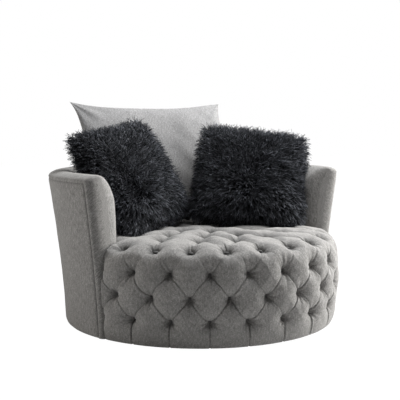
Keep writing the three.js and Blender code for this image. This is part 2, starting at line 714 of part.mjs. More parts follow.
function addShell() {
  const from = shellAngle;
  const to = fullTurn - shellAngle;
  const rail = plate(sectorShape(bottomRailOuter - bottomRailWidth, bottomRailOuter, from, to, shellSteps),
    bottomRailBottom, bottomRailHeight);
  const holes = boltHoles(bottomRailBottom - overrun, bottomRailTop + overrun);
  addPiece('shell_bottom_rail', cutAway(rail, holes), plywood);
  const topShape = sectorShape(topRailInner, topRailOuter, from, to, shellSteps);
  addPiece('shell_top_rail', plate(topShape, topRailBottom, topRailHeight), plywood);
  const halfPost = THREE.MathUtils.radToDeg(postWidth / 2 / (bottomRailMiddle - postDepth)) + gap;
  [from + halfPost, ...shellPostAngles, to - halfPost].forEach((angle, i) => {
    addPiece(`shell_post_${i + 1}`, leaningPost(angle), pine);
  });
  addPiece('shell_lining', sweepRound(spread(from, to, shellSteps), () => [
    new THREE.Vector2(liningInner(bottomRailTop + gap), bottomRailTop + gap),
    new THREE.Vector2(liningInner(bottomRailTop + gap) + liningThickness, bottomRailTop + gap),
    new THREE.Vector2(liningInner(topRailBottom - gap) + liningThickness, topRailBottom - gap),
    new THREE.Vector2(liningInner(topRailBottom - gap), topRailBottom - gap)]), plywood);

  const levels = spread(hemHeight, topRailTop, panelLevels);
  addPiece('outer_panel', sweepRound(spread(from, to, shellSteps), () => [
    ...levels.map((z) => new THREE.Vector2(shellRadius(z), z)),
    ...levels.toReversed().map((z) => new THREE.Vector2(shellRadius(z) - panelThickness, z))]), fabric);

  const lap = gap + noseOverlap;
  const pad = sweepRound([from - lap, ...spread(from, to, shellSteps), to + lap], padSection);
  const noses = [1, -1].map((side) => sweepRound(noseAngles(side), noseSection));
  addPiece('shell_pad', joinAll([pad, ...noses]), fabric);

  boltAngles.forEach((angle, i) => {
    const head = bottomRailTop + gap;
    const nutTop = boardBottom - gap;
    const profile = [[0, nutTop - nutHeight], [nutRadius, nutTop - nutHeight], [nutRadius, nutTop],
      [boltRadius, nutTop], [boltRadius, head], [boltHeadRadius, head],
      [boltHeadRadius * boltTopShare, head + boltHeadHeight], [0, head + boltHeadHeight]];
    const spot = place(angle, bottomRailMiddle, 0);
    addPiece(`frame_bolt_${i + 1}`, turned(profile, screwSides).translate(spot.x, spot.y, 0), steel);
  });
}

// A stuffed cushion in its own frame, standing in the XZ plane: crowned faces that meet in a seam all
// round, with sides drawn in between the corners.
function cushion(width, height, thickness, cells) {
  const points = [];
  const indexOf = new Map();
  const vertex = (i, j, side) => {
    const edge = i === 0 || j === 0 || i === cells || j === cells;
    const key = `${i},${j},${edge ? 0 : side}`;
    if (!indexOf.has(key)) {
      const u = Math.sin((Math.PI / 2) * ((2 * i) / cells - 1));
      const v = Math.sin((Math.PI / 2) * ((2 * j) / cells - 1));
      const crown = Math.sqrt(Math.max(0, (1 - u ** crownPower) * (1 - v ** crownPower)));
      const x = (width / 2) * u * (1 - seamDrawShare * (1 - v * v));
      const z = (height / 2) * v * (1 - seamDrawShare * (1 - u * u));
      indexOf.set(key, points.push(new THREE.Vector3(x, side * crown * (thickness / 2), z)) - 1);
    }
    return indexOf.get(key);
  };
  const triangles = [];
  for (const side of [1, -1]) {
    for (let i = 0; i < cells; i += 1) {
      for (let j = 0; j < cells; j += 1) {
        const quad = [vertex(i, j, side), vertex(i + 1, j, side), vertex(i + 1, j + 1, side),
          vertex(i, j + 1, side)];
        if (i < cells / 2 !== j < cells / 2) quad.push(quad.shift());
        if (side < 0) quad.reverse();
        const [a, b, c, d] = quad;
        triangles.push(...(side < 0 ? [[a, b, d], [b, c, d]] : [[a, b, c], [a, c, d]]));
      }
    }
  }
  return closedGeometry(points, triangles);
}

// The lower corners of a pillow that leans in the curved back come forward (-Y), its top stays flat.
function bendForward(geometry, size, depth) {
  const position = geometry.attributes.position;
  for (let i = 0; i < position.count; i += 1) {
    const across = (2 * position.getX(i)) / size.width;
    const rise = THREE.MathUtils.clamp(position.getZ(i) / size.height + 0.5, 0, 1);
    position.setY(i, position.getY(i) - depth * across ** 2 * (1 - rise ** backPillowBendPower));
  }
  return geometry;
}

// A pillow is a cover with a zipped slot in its bottom seam, the filled insert in it, and the zip.
function addPillow(name, size, look, pose) {
  const { width, height, thickness, cells, insertCells, bend } = size;
  const holder = new THREE.Group();
  holder.rotation.order = 'ZXY';
  holder.position.copy(pose.position);
  holder.rotation.set(radians(pose.lean), radians(pose.roll), radians(pose.turn));
  chair.add(holder);
  const inner = (ease) => cushion(width - 2 * (insertInset + ease), height - 2 * (insertInset + ease),
    thickness - 2 * (coverWall + ease), insertCells);
  const seam = (-height / 2) * (1 - seamDrawShare);
  const endShare = zipLength / (width - 2 * insertInset);
  const insertBottom = (insertInset - height / 2) * (1 - seamDrawShare * (1 - endShare ** 2));
  const tapeHeight = insertBottom - insertEase - seam;
  const slotHeight = tapeHeight + insertInset + zipDepth;
  const tape = new THREE.BoxGeometry(zipLength, zipThickness, tapeHeight, zipSteps, 1, 1);
  const slotWidth = zipThickness + 2 * gap;
  const slot = new THREE.BoxGeometry(zipLength + 2 * gap, slotWidth, slotHeight, zipSteps, 1, 1);
  tape.translate(0, 0, seam + tapeHeight / 2);
  slot.translate(0, 0, seam - insertInset + slotHeight / 2);
  const shaped = (geometry) => bendForward(geometry, size, bend);
  const hollow = [shaped(inner(0)), shaped(slot)];
  addPiece(`${name}_cover`, cutAway(shaped(cushion(width, height, thickness, cells)), hollow), look, holder);
  addPiece(`${name}_insert`, shaped(inner(insertEase)), fill, holder);
  addPiece(`${name}_zip`, shaped(tape), plastic, holder);
}

// A throw pillow's middle, from its outer side, its top edge and the corner that it stands on.
function throwPose(side, top, sink, lean, turn, roll) {
  const half = furPillowSize / 2;
  const leaning = new THREE.Euler(radians(-lean), radians(roll), radians(turn), 'ZXY');
  const towards = (x, z) => new THREE.Vector3(x * half, 0, z * half).applyEuler(leaning);
  const lowest = Math.min(towards(1, -1).z, towards(-1, -1).z);
  const x = side - towards(Math.sign(side), 0).x;
  const y = top - towards(0, 1).y;
  return { position: new THREE.Vector3(x, y, seatCrown - sink - lowest), lean: -lean, roll, turn };
}

function addPillows() {
  addPillow('back_pillow', {
    width: backPillowWidth,
    height: backPillowHeight,
    thickness: backPillowThickness,
    cells: backPillowCells,
    insertCells: backInsertCells,
    bend: backPillowBend,
  }, fabric, {
    position: new THREE.Vector3(0, bulgeRadius - backPillowStandoff, seatCrown + backPillowRise),
    lean: -backPillowLean,
    roll: 0,
    turn: 0,
  });
  const furSize = {
    width: furPillowSize,
    height: furPillowSize,
    thickness: furPillowThickness,
    cells: furPillowCells,
    insertCells: furInsertCells,
    bend: 0,
  };
  const leftPose = throwPose(
    leftPillowSide, leftPillowTop, leftPillowSink, leftPillowLean, leftPillowTurn, leftPillowRoll);
  addPillow('fur_pillow_left', furSize, fur, leftPose);
  const rightPose = throwPose(
    rightPillowSide, rightPillowTop, rightPillowSink, rightPillowLean, rightPillowTurn, rightPillowRoll);
  addPillow('fur_pillow_right', furSize, fur, rightPose);
}

addPlinth();
addPiece('swivel_plate_lower', swivelPlate(lowerPlateBottom, true, lowerScrewCircle), steel);
addScrews('lower_screw', lowerScrewCircle, lowerPlateTop + gap, 1);
addBallCage();
addPiece('swivel_plate_upper', swivelPlate(upperPlateBottom, false, upperScrewCircle), steel);
addScrews('upper_screw', upperScrewCircle, upperPlateBottom - gap, -1);
addSeatFrame();
addSprings();
addSeat();
addShell();
addPillows();

export default chair;
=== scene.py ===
"""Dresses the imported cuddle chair: buttoned seat, padded shell, back pillow and shaggy throw pillows.

Metres, +Z up, the origin on the floor under the swivel axis, the open front towards -Y.
Angles round the chair are counted from the front, positive towards +X.
"""

import math

import bmesh
import bpy
import numpy as np
from mathutils import Euler, Matrix, Vector


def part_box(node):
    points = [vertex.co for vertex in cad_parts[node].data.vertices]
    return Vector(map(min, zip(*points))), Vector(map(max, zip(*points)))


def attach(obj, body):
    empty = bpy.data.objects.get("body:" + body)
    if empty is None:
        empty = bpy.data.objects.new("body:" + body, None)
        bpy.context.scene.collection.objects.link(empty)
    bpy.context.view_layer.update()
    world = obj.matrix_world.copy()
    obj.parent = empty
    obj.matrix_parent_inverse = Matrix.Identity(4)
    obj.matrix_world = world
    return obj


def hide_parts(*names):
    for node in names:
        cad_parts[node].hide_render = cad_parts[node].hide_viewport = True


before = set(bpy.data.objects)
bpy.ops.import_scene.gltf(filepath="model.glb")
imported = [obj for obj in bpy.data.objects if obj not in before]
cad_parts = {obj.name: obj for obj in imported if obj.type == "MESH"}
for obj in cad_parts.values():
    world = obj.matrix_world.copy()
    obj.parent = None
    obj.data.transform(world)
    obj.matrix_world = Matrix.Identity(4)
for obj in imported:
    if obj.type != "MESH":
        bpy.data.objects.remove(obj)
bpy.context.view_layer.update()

bl_info = {
    "name": "Cuddle chair dressing",
    "version": (1, 0, 0),
    "blender": (4, 5, 0),
    "location": "View3D > Sidebar > Chair",
    "description": "Upholstery, pillows and finishes for a round swivel cuddle chair",
    "category": "Object",
}

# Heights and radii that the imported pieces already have.
HEM_LEVEL, SEAT_TOP = (corner.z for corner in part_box("tufted_seat_cover"))
RAIL_BOTTOM, LIP_LEVEL = (corner.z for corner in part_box("shell_top_rail"))
CORE_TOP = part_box("seat_foam_core")[1].z
DECK_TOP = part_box("deck_frame")[1].z
FRAME_RADIUS = -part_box("drum_front_wall")[0].y
PUFF_RADIUS = -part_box("tufted_seat_cover")[0].y
SEAT_HEIGHT = SEAT_TOP - HEM_LEVEL

# Cloth and padding start this far off the boards that they lie on, and off the walls that they pass.
BOARD_GAP = 0.0003
WALL_GAP = 0.0008
FOOT_LEVEL = DECK_TOP + BOARD_GAP

# The seat's side from hem to middle: share of its radius, share of its height, place among button rows.
SEAT_PROFILE = [
    (0.956, 0, -1.6), (0.972, 0.055, -1.2), (0.984, 0.146, -0.6), (0.992, 0.236, 0), (0.999, 0.357, 0.5),
    (1, 0.477, 1), (1, 0.598, 1.5), (0.996, 0.722, 2), (0.983, 0.818, 2.3), (0.957, 0.893, 2.55),
    (0.922, 0.935, 2.8), (0.88, 0.963, 3), (0.806, 0.981, 3.5), (0.719, 0.989, 4), (0.602, 0.996, 4.5),
    (0.505, 0.998, 5), (0.389, 1, 5.5), (0.265, 1, 6), (0.164, 1, 6.5), (0, 1, 7)]
# Points of that profile at the three rows of side buttons, at the shoulder, and where the top begins.
SIDE_ROWS = (3, 5, 7)
SHOULDER, TOP_START = 11, 8
# From this row inward the cover lies over the foam core.
CORE_ROW = 2.55
# Rings of buttons on top: share of the seat's radius, how many, and the angle of the first in degrees.
TOP_RINGS = [(0.602, 15, -8), (0.389, 10, -27), (0.164, 5, 0)]
# The pad's face from deck to outer seam: shares between bulge and seam, deck and seam, and of the roll.
PAD_PROFILE = [
    (-0.02, 0, 0), (-0.018, 0.342, 0), (0, 0.603, 0), (0.045, 0.81, 0), (0.2, 0.965, 0), (0.38, 1, 0.6),
    (0.6, 1, 1), (0.8, 1, 0.92), (0.93, 1, 0.62), (0.985, 1, 0.3), (1, 1, 0)]

# The pad is drawn in this far beside its seams.
SEAM_REACH = 0.005

# Each throw pillow's place and tilt, its own shape, and where its pile parts, from its middle.
THROW_PILLOWS = {
    "left": {"middle": (-0.240, 0.138, 0.5844), "lean": math.radians(30), "roll": math.radians(-9),
             "turn": math.radians(21.5), "draw_in": 0.09, "sag_power": 1.6, "parting": (-0.075, -0.11)},
    "right": {"middle": (0.282, 0.042, 0.572), "lean": math.radians(34), "roll": math.radians(8),
              "turn": math.radians(-29), "parting": (-0.01, -0.10)},
}
# What both throw pillows share, in the terms of the back pillow's settings.
THROW_SIZE = {"width": 0.418, "height": 0.418, "thickness": 0.122, "bend": 0.0, "draw_in": 0.03,
              "sag_power": 2.0, "sag_skew": 0.0, "side_draw": 0.03, "side_power": 2.0,
              "corner_round": 0.02, "corner_pinch": 0.3}

# What each point of a throw pillow's form says to the pile that grows there.
PILE_MARKS = ("comb", "sweep", "furry", "furry_front", "furry_rear")

# Each lamp's place, width, watts and colour, and the spot that all of them point at.
LAMPS = {
    "key_lamp": ((1.2, -0.3, 3.0), 2.0, 150, (0.955, 0.975, 1.0)),
    "side_lamp": ((3.3, -0.85, 1.3), 1.4, 168, (1.0, 0.99, 0.97)),
    "left_lamp": ((-3.1, 1.6, 1.6), 1.8, 58, (1.0, 0.98, 0.96)),
}
LAMP_TARGET = (0, 0, 0.35)

WHITE_COTTON = (0.78, 0.77, 0.74)


def length(description, default):
    return bpy.props.FloatProperty(description=description, default=default, unit="LENGTH", precision=4)


def degrees(description, default):
    return bpy.props.FloatProperty(description=description, default=math.radians(default), subtype="ANGLE")


def amount(description, default):
    return bpy.props.FloatProperty(description=description, default=default)


def colour(description, default):
    return bpy.props.FloatVectorProperty(description=description, default=default, subtype="COLOR",
                                         size=3, min=0, max=1)


def place(description, default):
    return bpy.props.FloatVectorProperty(description=description, default=default,
                                         subtype="TRANSLATION", size=3, precision=4)


class SeatSettings(bpy.types.PropertyGroup):
    """The buttoned drum seat."""
    end_angle: degrees("Where the buttoned front meets each arm", 70.8)
    inside_radius: length("The seat inside the shell", 0.454)
    same_radius: length("Within it the top is the same all round", 0.350)
    button_pitch: degrees("Angle between buttons in a row", 15)
    button_turn: degrees("First button column off the centre line", 2)
    button_radius: length("Covered buttons", 0.0105)
    row_height: length("Height between two rows of buttons", 0.0875)
    puff_depth: length("From the puffs down to the pleats", 0.0042)
    pit_depth: length("From the pleats down to the buttons", 0.031)
    pit_width: length("Spread of each funnel", 0.036)
    fold_depth: length("The sharp fold in each pleat", 0.0042)
    fold_width: length("Wide side of each fold", 0.0038)
    ridge: length("The lip of cloth that stands along each fold", 0.0022)
    gather_depth: length("Small folds that run into each button", 0.0019)
    gather_reach: length("How far out the gathers run", 0.04)
    top_pit_depth: length("Buttons under the seat top", 0.027)
    top_pit_width: length("Spread of each funnel on the top", 0.038)
    top_pleat_depth: length("Soft pleats on the top", 0.0085)
    top_pleat_width: length("Spread of each pleat on the top", 0.02)
    top_pleat_bow: length("How far those pleats bow sideways", 0.006)
    longest_pleat: length("Buttons further apart have no pleat between them", 0.2)


class ShellSettings(bpy.types.PropertyGroup):
    """The padded back and arms."""
    hem_radius: length("Outer radius at the hem", 0.550)
    flare: length("How far the shell leans out from hem to seam", 0.061)
    flare_power: amount("How late the lean comes", 1.45)
    seam_height: length("Outer seam over the floor", 0.597)
    roll_height: length("Rolled top over the seam", 0.028)
    bulge_radius: length("The inner pad where it stands in most", 0.458)
    panel_angle: degrees("Where the outer panel starts", 74.6)
    inner_angle: degrees("Where the arm starts to round off inside", 76.6)
    tip_angle: degrees("Foremost line of each arm", 71.3)
    tip_drop: length("Fall of the top edge at the tip", 0.009)
    panel_thickness: length("Fabric and wadding of the outer panel", 0.006)
    seam_groove: length("How deep the seams are drawn in", 0.0032)


class PillowSettings(bpy.types.PropertyGroup):
    """The loose back pillow."""
    middle: place("Middle of the pillow in the chair", (0.005, 0.402, 0.6334))
    width: length("Corner to corner across", 0.762)
    height: length("Corner to corner upwards", 0.545)
    thickness: length("At the crown", 0.142)
    lean: degrees("Backwards", 11.5)
    roll: degrees("About its own face", 0)
    turn: degrees("About the vertical", 0)
    bend: length("How far the lower corners come forward", 0.185)
    draw_in: amount("Share by which top and bottom pull in between the corners", 0.10)
    sag_power: amount("Higher keeps that edge straight for longer", 2.8)
    sag_skew: amount("How much straighter one end is than the other", 1.0)
    side_draw: amount("Share by which the sides pull in between the corners", 0.08)
    side_power: amount("Higher keeps the sides straight for longer", 5.0)
    corner_round: amount("Share by which the corners are rounded off", 0.0)
    corner_pinch: amount("Share by which the corners are thinner", 0.75)


class PileSettings(bpy.types.PropertyGroup):
    """The long pile of the throw pillows."""
    lock_length: length("Long clumped hairs", 0.042)
    hair_length: length("Finer hairs between and beyond them", 0.050)
    lock_radius: length("A lock near its root", 0.0014)
    hair_radius: length("A finer hair near its root", 0.00066)
    lock_density: amount("Locks in a square metre", 24200)
    hair_density: amount("Finer hairs in a square metre", 56000)


class FinishSettings(bpy.types.PropertyGroup):
    """Colours of the chair."""
    fabric: colour("Grey chenille", (0.285, 0.275, 0.262))
    fabric_light: colour("Light yarns in the chenille", (0.46, 0.448, 0.43))
    pile: colour("Root of the fur", (0.0026, 0.0028, 0.0038))
    pile_tip: colour("Tip of the fur", (0.15, 0.157, 0.177))
    plywood: colour("Frame boards", (0.50, 0.35, 0.19))
    pine: colour("Frame posts", (0.62, 0.44, 0.24))
    steel: colour("Zinc-plated fittings", (0.52, 0.53, 0.54))


class StageSettings(bpy.types.PropertyGroup):
    """The camera."""
    camera: place("Where the photograph was taken from", (-1.734, -2.808, 0.8115))
    pitch: degrees("Camera below the horizon", 5.47)
    heading: degrees("Camera turned from +Y", -31.7)
    lens: amount("Focal length on a 36 mm square frame", 72.72)


SETTINGS = {
    "chair_seat": SeatSettings, "chair_shell": ShellSettings, "chair_back_pillow": PillowSettings,
    "chair_pile": PileSettings, "chair_finish": FinishSettings, "chair_stage": StageSettings}


def at(angle, radius, z):
    """Points at angles (radians from the front), radii and heights, as an array of (x, y, z)."""
    angle, radius, z = np.broadcast_arrays(angle, radius, z)
    return np.stack([radius * np.sin(angle), -radius * np.cos(angle), z], axis=-1)


def bell(distance, width, power=2):
    """1 at no distance, falling towards 0 past the width."""
    return np.exp(-(distance / width) ** power)


def curve_through(points, t):
    """A smooth curve through a list of points, at places t counted in points."""
    points = np.asarray(points, float)
    last = len(points) - 1
    i = np.clip(np.floor(t).astype(int), 0, last - 1)
    f = (t - i)[:, None]
    before, here = points[np.maximum(i - 1, 0)], points[i]
    after, beyond = points[i + 1], points[np.minimum(i + 2, last)]
    return 0.5 * (2 * here + (after - before) * f + (2 * before - 5 * here + 4 * after - beyond) * f**2
                  + (3 * here - before - 3 * after + beyond) * f**3)


def run_along(line):
    """How long a line is up to each of its points, which its first index counts."""
    steps = np.linalg.norm(np.diff(line, axis=0), axis=-1)
    return np.concatenate([np.zeros((1, *steps.shape[1:])), np.cumsum(steps, axis=0)])


def even_places(points, step):
    """Places along curve_through that lie about one step apart."""
    t = np.linspace(0, len(points) - 1, 2000)
    run = run_along(curve_through(points, t))
    return np.interp(np.linspace(0, run[-1], max(2, int(run[-1] / step))), run, t)


def waves(points, size, seed):
    """Smooth seeded unevenness between about -1 and 1, from sums of tilted waves of the given size."""
    random = np.random.default_rng(seed)
    total = np.zeros(points.shape[:-1])
    octaves = range(3)
    for octave in octaves:
        for _ in range(4):
            direction = random.normal(size=3)
            direction /= np.linalg.norm(direction)
            phase = random.uniform(0, 2 * math.pi)
            total += np.sin(points @ direction * (2 * math.pi * 1.7**octave / size) + phase) / 1.6**octave
    return total / (4 * sum(1 / 1.6**octave for octave in octaves) ** 0.5) * 1.4


def add_object(name, data):
    obj = bpy.data.objects.new(name, data)
    bpy.context.scene.collection.objects.link(obj)
    return obj


def new_object(name, points, faces, material, uv=None, crease_angle=55):
    mesh = bpy.data.meshes.new(name)
    mesh.from_pydata(points.reshape(-1, 3), [], faces)
    mesh.validate()
    mesh.update()
    mesh.shade_smooth()
    mesh.set_sharp_from_angle(angle=math.radians(crease_angle))
    if uv is not None:
        corner = np.zeros(len(mesh.loops), int)
        mesh.loops.foreach_get("vertex_index", corner)
        mesh.uv_layers.new(name="cloth").data.foreach_set("uv", uv.reshape(-1, 2)[corner].ravel())
    mesh.materials.append(material)
    return add_object(name, mesh)


def mark(obj, name, values):
    """Stores a value, or a vector, for each point of the object under a name."""
    values = np.ravel(values)
    single = len(values) == len(obj.data.vertices)
    kind, key = ("FLOAT", "value") if single else ("FLOAT_VECTOR", "vector")
    obj.data.attributes.new(name, kind, "POINT").data.foreach_set(key, values)


def cloth_map(across, along):
    """Where each point of a grid lies on its cloth."""
    return np.stack(np.broadcast_arrays(across, along), axis=-1)


def grid_faces(rows, columns, round_rows=False):
    """Quads between the points of a grid whose columns, and rows if asked, close on themselves."""
    r = np.arange(rows if round_rows else rows - 1)[:, None]
    c = np.arange(columns)[None, :]
    r_next, c_next = (r + 1) % rows, (c + 1) % columns
    quads = np.stack(np.broadcast_arrays(r * columns + c, r_next * columns + c, r_next * columns + c_next,
                                         r * columns + c_next), axis=-1)
    return quads.reshape(-1, 4).tolist()


def capped_faces(rows, columns):
    """The same for a body that is closed by a flat face before its first row and past its last."""
    last = (rows - 1) * columns
    return grid_faces(rows, columns) + [list(range(columns))[::-1], list(range(last, last + columns))]


def dress(obj, body, replaced=()):
    """Every finished piece rides on its body and stands for CAD nodes."""
    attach(obj, body)
    if replaced:
        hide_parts(*replaced)
    return obj


class Nodes:
    """Adds nodes to a tree. An input is named, or counted where names repeat, and given as an output
    to link or as a value."""

    def __init__(self, tree):
        self.tree = tree

    def feed(self, socket, value):
        if isinstance(value, bpy.types.NodeSocket):
            self.tree.links.new(value, socket)
        else:
            socket.default_value = (*value, 1) if socket.type == "RGBA" else value

    def node(self, kind, inputs=None, **settings):
        made = self.tree.nodes.new(kind)
        for key, value in settings.items():
            setattr(made, key, value)
        for key, value in (inputs or {}).items():
            socket = made.inputs[key] if isinstance(key, int) else next(
                entry for entry in made.inputs if entry.name == key and entry.enabled)
            self.feed(socket, value)
        return made

    def math(self, operation, *values, clamp=False):
        return self.node("ShaderNodeMath", dict(enumerate(values)), operation=operation,
                         use_clamp=clamp).outputs[0]


class Shader(Nodes):
    """A short way to build a node material round its Principled shader."""

    def __init__(self, name):
        self.material = bpy.data.materials.new(name)
        self.material.use_nodes = True
        super().__init__(self.material.node_tree)
        self.surface = self.tree.nodes["Principled BSDF"]

    def coordinates(self, stretch=(1, 1, 1), output="Object"):
        source = self.node("ShaderNodeTexCoord")
        return self.node("ShaderNodeMapping", {"Vector": source.outputs[output], "Scale": stretch}).outputs[0]

    def noise(self, scale, detail=2.0, roughness=0.5, distortion=0.0, **coordinates):
        return self.node("ShaderNodeTexNoise", {
            "Vector": self.coordinates(**coordinates), "Scale": scale, "Detail": detail,
            "Roughness": roughness, "Distortion": distortion}).outputs["Fac"]

    def attribute(self, name):
        return self.node("ShaderNodeAttribute", attribute_name=name).outputs["Fac"]

    def ramp(self, value, *stops, tone=(1, 1, 1)):
        """A colour ramp. Each stop is a position with a colour or with a share of the tone."""
        made = self.node("ShaderNodeValToRGB", {"Fac": value})
        elements = made.color_ramp.elements
        while len(elements) < len(stops):
            elements.new(0.5)
        for element, (position, shade) in zip(elements, stops):
            element.position = position
            element.color = (*(scaled(tone, shade) if isinstance(shade, (int, float)) else shade), 1)
        return made.outputs["Color"]

    def mix(self, factor, one, other, blend="MIX"):
        return self.node("ShaderNodeMix", {0: factor, 6: one, 7: other}, data_type="RGBA",
                         blend_type=blend).outputs[2]

    def tinted(self, base, *tones):
        for tone in tones:
            base = self.mix(1.0, base, tone, "MULTIPLY")
        return base

    def finish(self, base, roughness, height=None, strength=0.2, distance=0.001, **values):
        """Sets the Principled shader's inputs, named with underscores, and its bump."""
        if height is not None:
            values["Normal"] = self.node("ShaderNodeBump", {
                "Height": height, "Strength": strength, "Distance": distance}).outputs["Normal"]
        for key, value in {"Base_Color": base, "Roughness": roughness, **values}.items():
            self.feed(self.surface.inputs[key.replace("_", " ")], value)
        return self.material


def scaled(tone, factor):
    return tuple(channel * factor for channel in tone)


def chenille(name, finish, heather, dye=(1, 1, 1)):
    """Short-pile chenille: a fine weave with light and dark yarns and a soft sheen. Heather is how strongly
    its streaks show, and dye the tint of its dye lot. Shade is painted dark into creases, pits and seams, and
    a highlight is painted light onto the lips of folds."""
    shader = Shader(name)
    yarn = shader.math("MULTIPLY", *(shader.noise(1.0, 2.0, 0.6, stretch=stretch, output="UV")
                                     for stretch in ((420, 120, 1), (130, 460, 1))))
    fleck = shader.noise(330, 3.0, 0.7, output="UV")
    nap = shader.noise(1.0, 4.0, 0.7, stretch=(170, 44, 1), output="UV")
    cloud = shader.noise(9, 3.0, 0.55)
    woven = shader.ramp(shader.math("MULTIPLY_ADD", fleck, 0.3, yarn), (0.24, 0.66), (0.39, 1),
                        (0.6, finish.fabric_light), tone=finish.fabric)
    streaks = shader.ramp(nap, (0.34, 1 - heather), (0.66, 1 + 0.45 * heather))
    base = shader.tinted(woven, streaks, shader.ramp(cloud, (0.3, 0.88), (0.7, 1.0)), dye)
    # Painted shade: the cloth is darkened where the attribute is above nothing, in creases, pits and seams.
    # Painted highlight: it is lightened where the attribute is below nothing, on the lips of folds.
    crease = shader.attribute("crease")
    for share, tone in ((0.4, scaled(finish.fabric, 0.14)), (-0.5, scaled(finish.fabric_light, 1.3))):
        base = shader.mix(shader.math("MULTIPLY", crease, share, clamp=True), base, tone)
    rough = shader.math("MULTIPLY_ADD", fleck, 0.12, 0.84)
    return shader.finish(base, rough, shader.math("MULTIPLY_ADD", fleck, 0.7, yarn), 0.55, 0.0012,
                         Sheen_Weight=0.25, Sheen_Roughness=0.45, Sheen_Tint=(0.9, 0.89, 0.87),
                         Specular_IOR_Level=0.2)


def pile_material(name, finish):
    """Fur: near-black roots that turn to grey at the tips, with a few lighter locks."""
    shader = Shader(name)
    cloud = shader.noise(24)
    strand = shader.ramp(shader.attribute("along"), (0.0, 0.6), (0.45, 1), (1.0, finish.pile_tip),
                         tone=finish.pile)
    locks = shader.ramp(shader.attribute("lock_tone"), (0.0, 0.25), (0.7, 0.6), (1.0, 1.8))
    base = shader.tinted(strand, locks, shader.ramp(cloud, (0.3, 0.7), (0.7, 1.0)))
    return shader.finish(base, shader.math("MULTIPLY_ADD", cloud, 0.15, 0.5), Specular_IOR_Level=0.14)


def plain_cloth(name, tone, weave_scale, bump=0.35):
    """A plain woven or felted cloth with small threads."""
    shader = Shader(name)
    thread = shader.noise(weave_scale, 3.0, 0.65)
    base = shader.tinted(shader.ramp(thread, (0.35, 0.72), (0.65, 1.18), tone=tone),
                         shader.ramp(shader.noise(12), (0.3, 0.85), (0.7, 1.0)))
    return shader.finish(base, shader.math("MULTIPLY_ADD", thread, 0.1, 0.85), thread, bump, 0.0006,
                         Sheen_Weight=0.1)


def wood(name, tone, grain, layers=False):
    """Sawn wood with grain along one axis; plywood shows its layers on the edges."""
    shader = Shader(name)
    rings = shader.noise(1.6, 5.0, 0.6, 0.8, stretch=grain)
    pores = shader.noise(1.0, stretch=scaled(grain, 8))
    base = shader.ramp(rings, (0.3, 0.66), (0.5, 1), (0.72, 1.22), tone=tone)
    if layers:
        ply = shader.node("ShaderNodeTexWave", {
            "Vector": shader.coordinates(), "Scale": 62.0, "Distortion": 0.25},
            wave_type="BANDS", bands_direction="Z").outputs["Fac"]
        base = shader.mix(0.22, base, shader.ramp(ply, (0.3, 0.28), (0.6, 0.9)), "MULTIPLY")
    return shader.finish(base, shader.math("MULTIPLY_ADD", pores, 0.2, 0.6), pores, 0.2, 0.0004)


def metal(name, tone, roughness):
    """Zinc-plated steel with faint rolling lines and smudges."""
    shader = Shader(name)
    lines = shader.noise(1.0, stretch=(30, 900, 900))
    smudge = shader.noise(35, 3.0)
    base = shader.ramp(smudge, (0.3, 0.82), (0.7, 1), tone=tone)
    return shader.finish(base, shader.math("MULTIPLY_ADD", smudge, 0.18, roughness), lines, 0.08, 0.0002,
                         Metallic=1.0)


def moulded(name, tone, roughness=0.5):
    """Moulded plastic with a fine grained skin."""
    shader = Shader(name)
    wear = shader.noise(40, 3.0)
    base = shader.ramp(wear, (0.3, 0.8), (0.7, 1.3), tone=tone)
    return shader.finish(base, shader.math("MULTIPLY_ADD", wear, 0.2, roughness), shader.noise(900), 0.15,
                         0.0002)


def open_foam(name, tone):
    """Open-cell foam: small round cells in a yellowish block."""
    shader = Shader(name)
    cells = shader.node("ShaderNodeTexVoronoi", {
        "Vector": shader.coordinates(), "Scale": 420.0}).outputs["Distance"]
    return shader.finish(shader.ramp(cells, (0.1, 0.7), (0.55, 1), tone=tone), 0.95, cells, 0.5, 0.001)


class Growth(Nodes):
    """A geometry node tree with named inputs, built from the script."""

    def __init__(self, name, inputs):
        super().__init__(bpy.data.node_groups.new(name, "GeometryNodeTree"))
        sockets = self.tree.interface
        sockets.new_socket("Geometry", in_out="INPUT", socket_type="NodeSocketGeometry")
        self.sockets = {key: sockets.new_socket(key, in_out="INPUT", socket_type=f"NodeSocket{kind}")
                        for key, kind in inputs.items()}
        sockets.new_socket("Geometry", in_out="OUTPUT", socket_type="NodeSocketGeometry")
        self.given = self.tree.nodes.new("NodeGroupInput").outputs

    def out(self, kind, inputs=None, **settings):
        """The first output that a new node has with its settings."""
        return next(entry for entry in self.node(kind, inputs, **settings).outputs if entry.enabled)

    def attribute(self, name, kind):
        return self.out("GeometryNodeInputNamedAttribute", {"Name": name}, data_type=kind)

    def random(self, low, high, seed, kind="FLOAT"):
        return self.out("FunctionNodeRandomValue", {"Min": low, "Max": high, "Seed": seed}, data_type=kind)

    def end(self, geometry):
        """The tree ends in real geometry with its material."""
        real = self.out("GeometryNodeRealizeInstances", {"Geometry": geometry})
        finished = self.out("GeometryNodeSetMaterial", {"Geometry": real, "Material": self.given["Material"]})
        self.node("NodeGroupOutput", {"Geometry": finished})

    def grow(self, source, name, values):
        """Runs the tree on a source object and keeps what it makes as a plain mesh."""
        modifier = source.modifiers.new(name, "NODES")
        modifier.node_group = self.tree
        for key, value in values.items():
            modifier[self.sockets[key].identifier] = value
        bpy.context.view_layer.update()
        evaluated = source.evaluated_get(bpy.context.evaluated_depsgraph_get())
        mesh = bpy.data.meshes.new_from_object(evaluated)
        source.modifiers.remove(modifier)
        mesh.name = name
        return add_object(name, mesh)


def inside_reach(radius, seat):
    """The seat's rim steps in behind the arms; its middle stays as it is."""
    share = (radius - seat.same_radius) / (PUFF_RADIUS - seat.same_radius)
    stepped = seat.same_radius + share * (seat.inside_radius - seat.same_radius)
    return np.where(radius < seat.same_radius, radius, stepped)


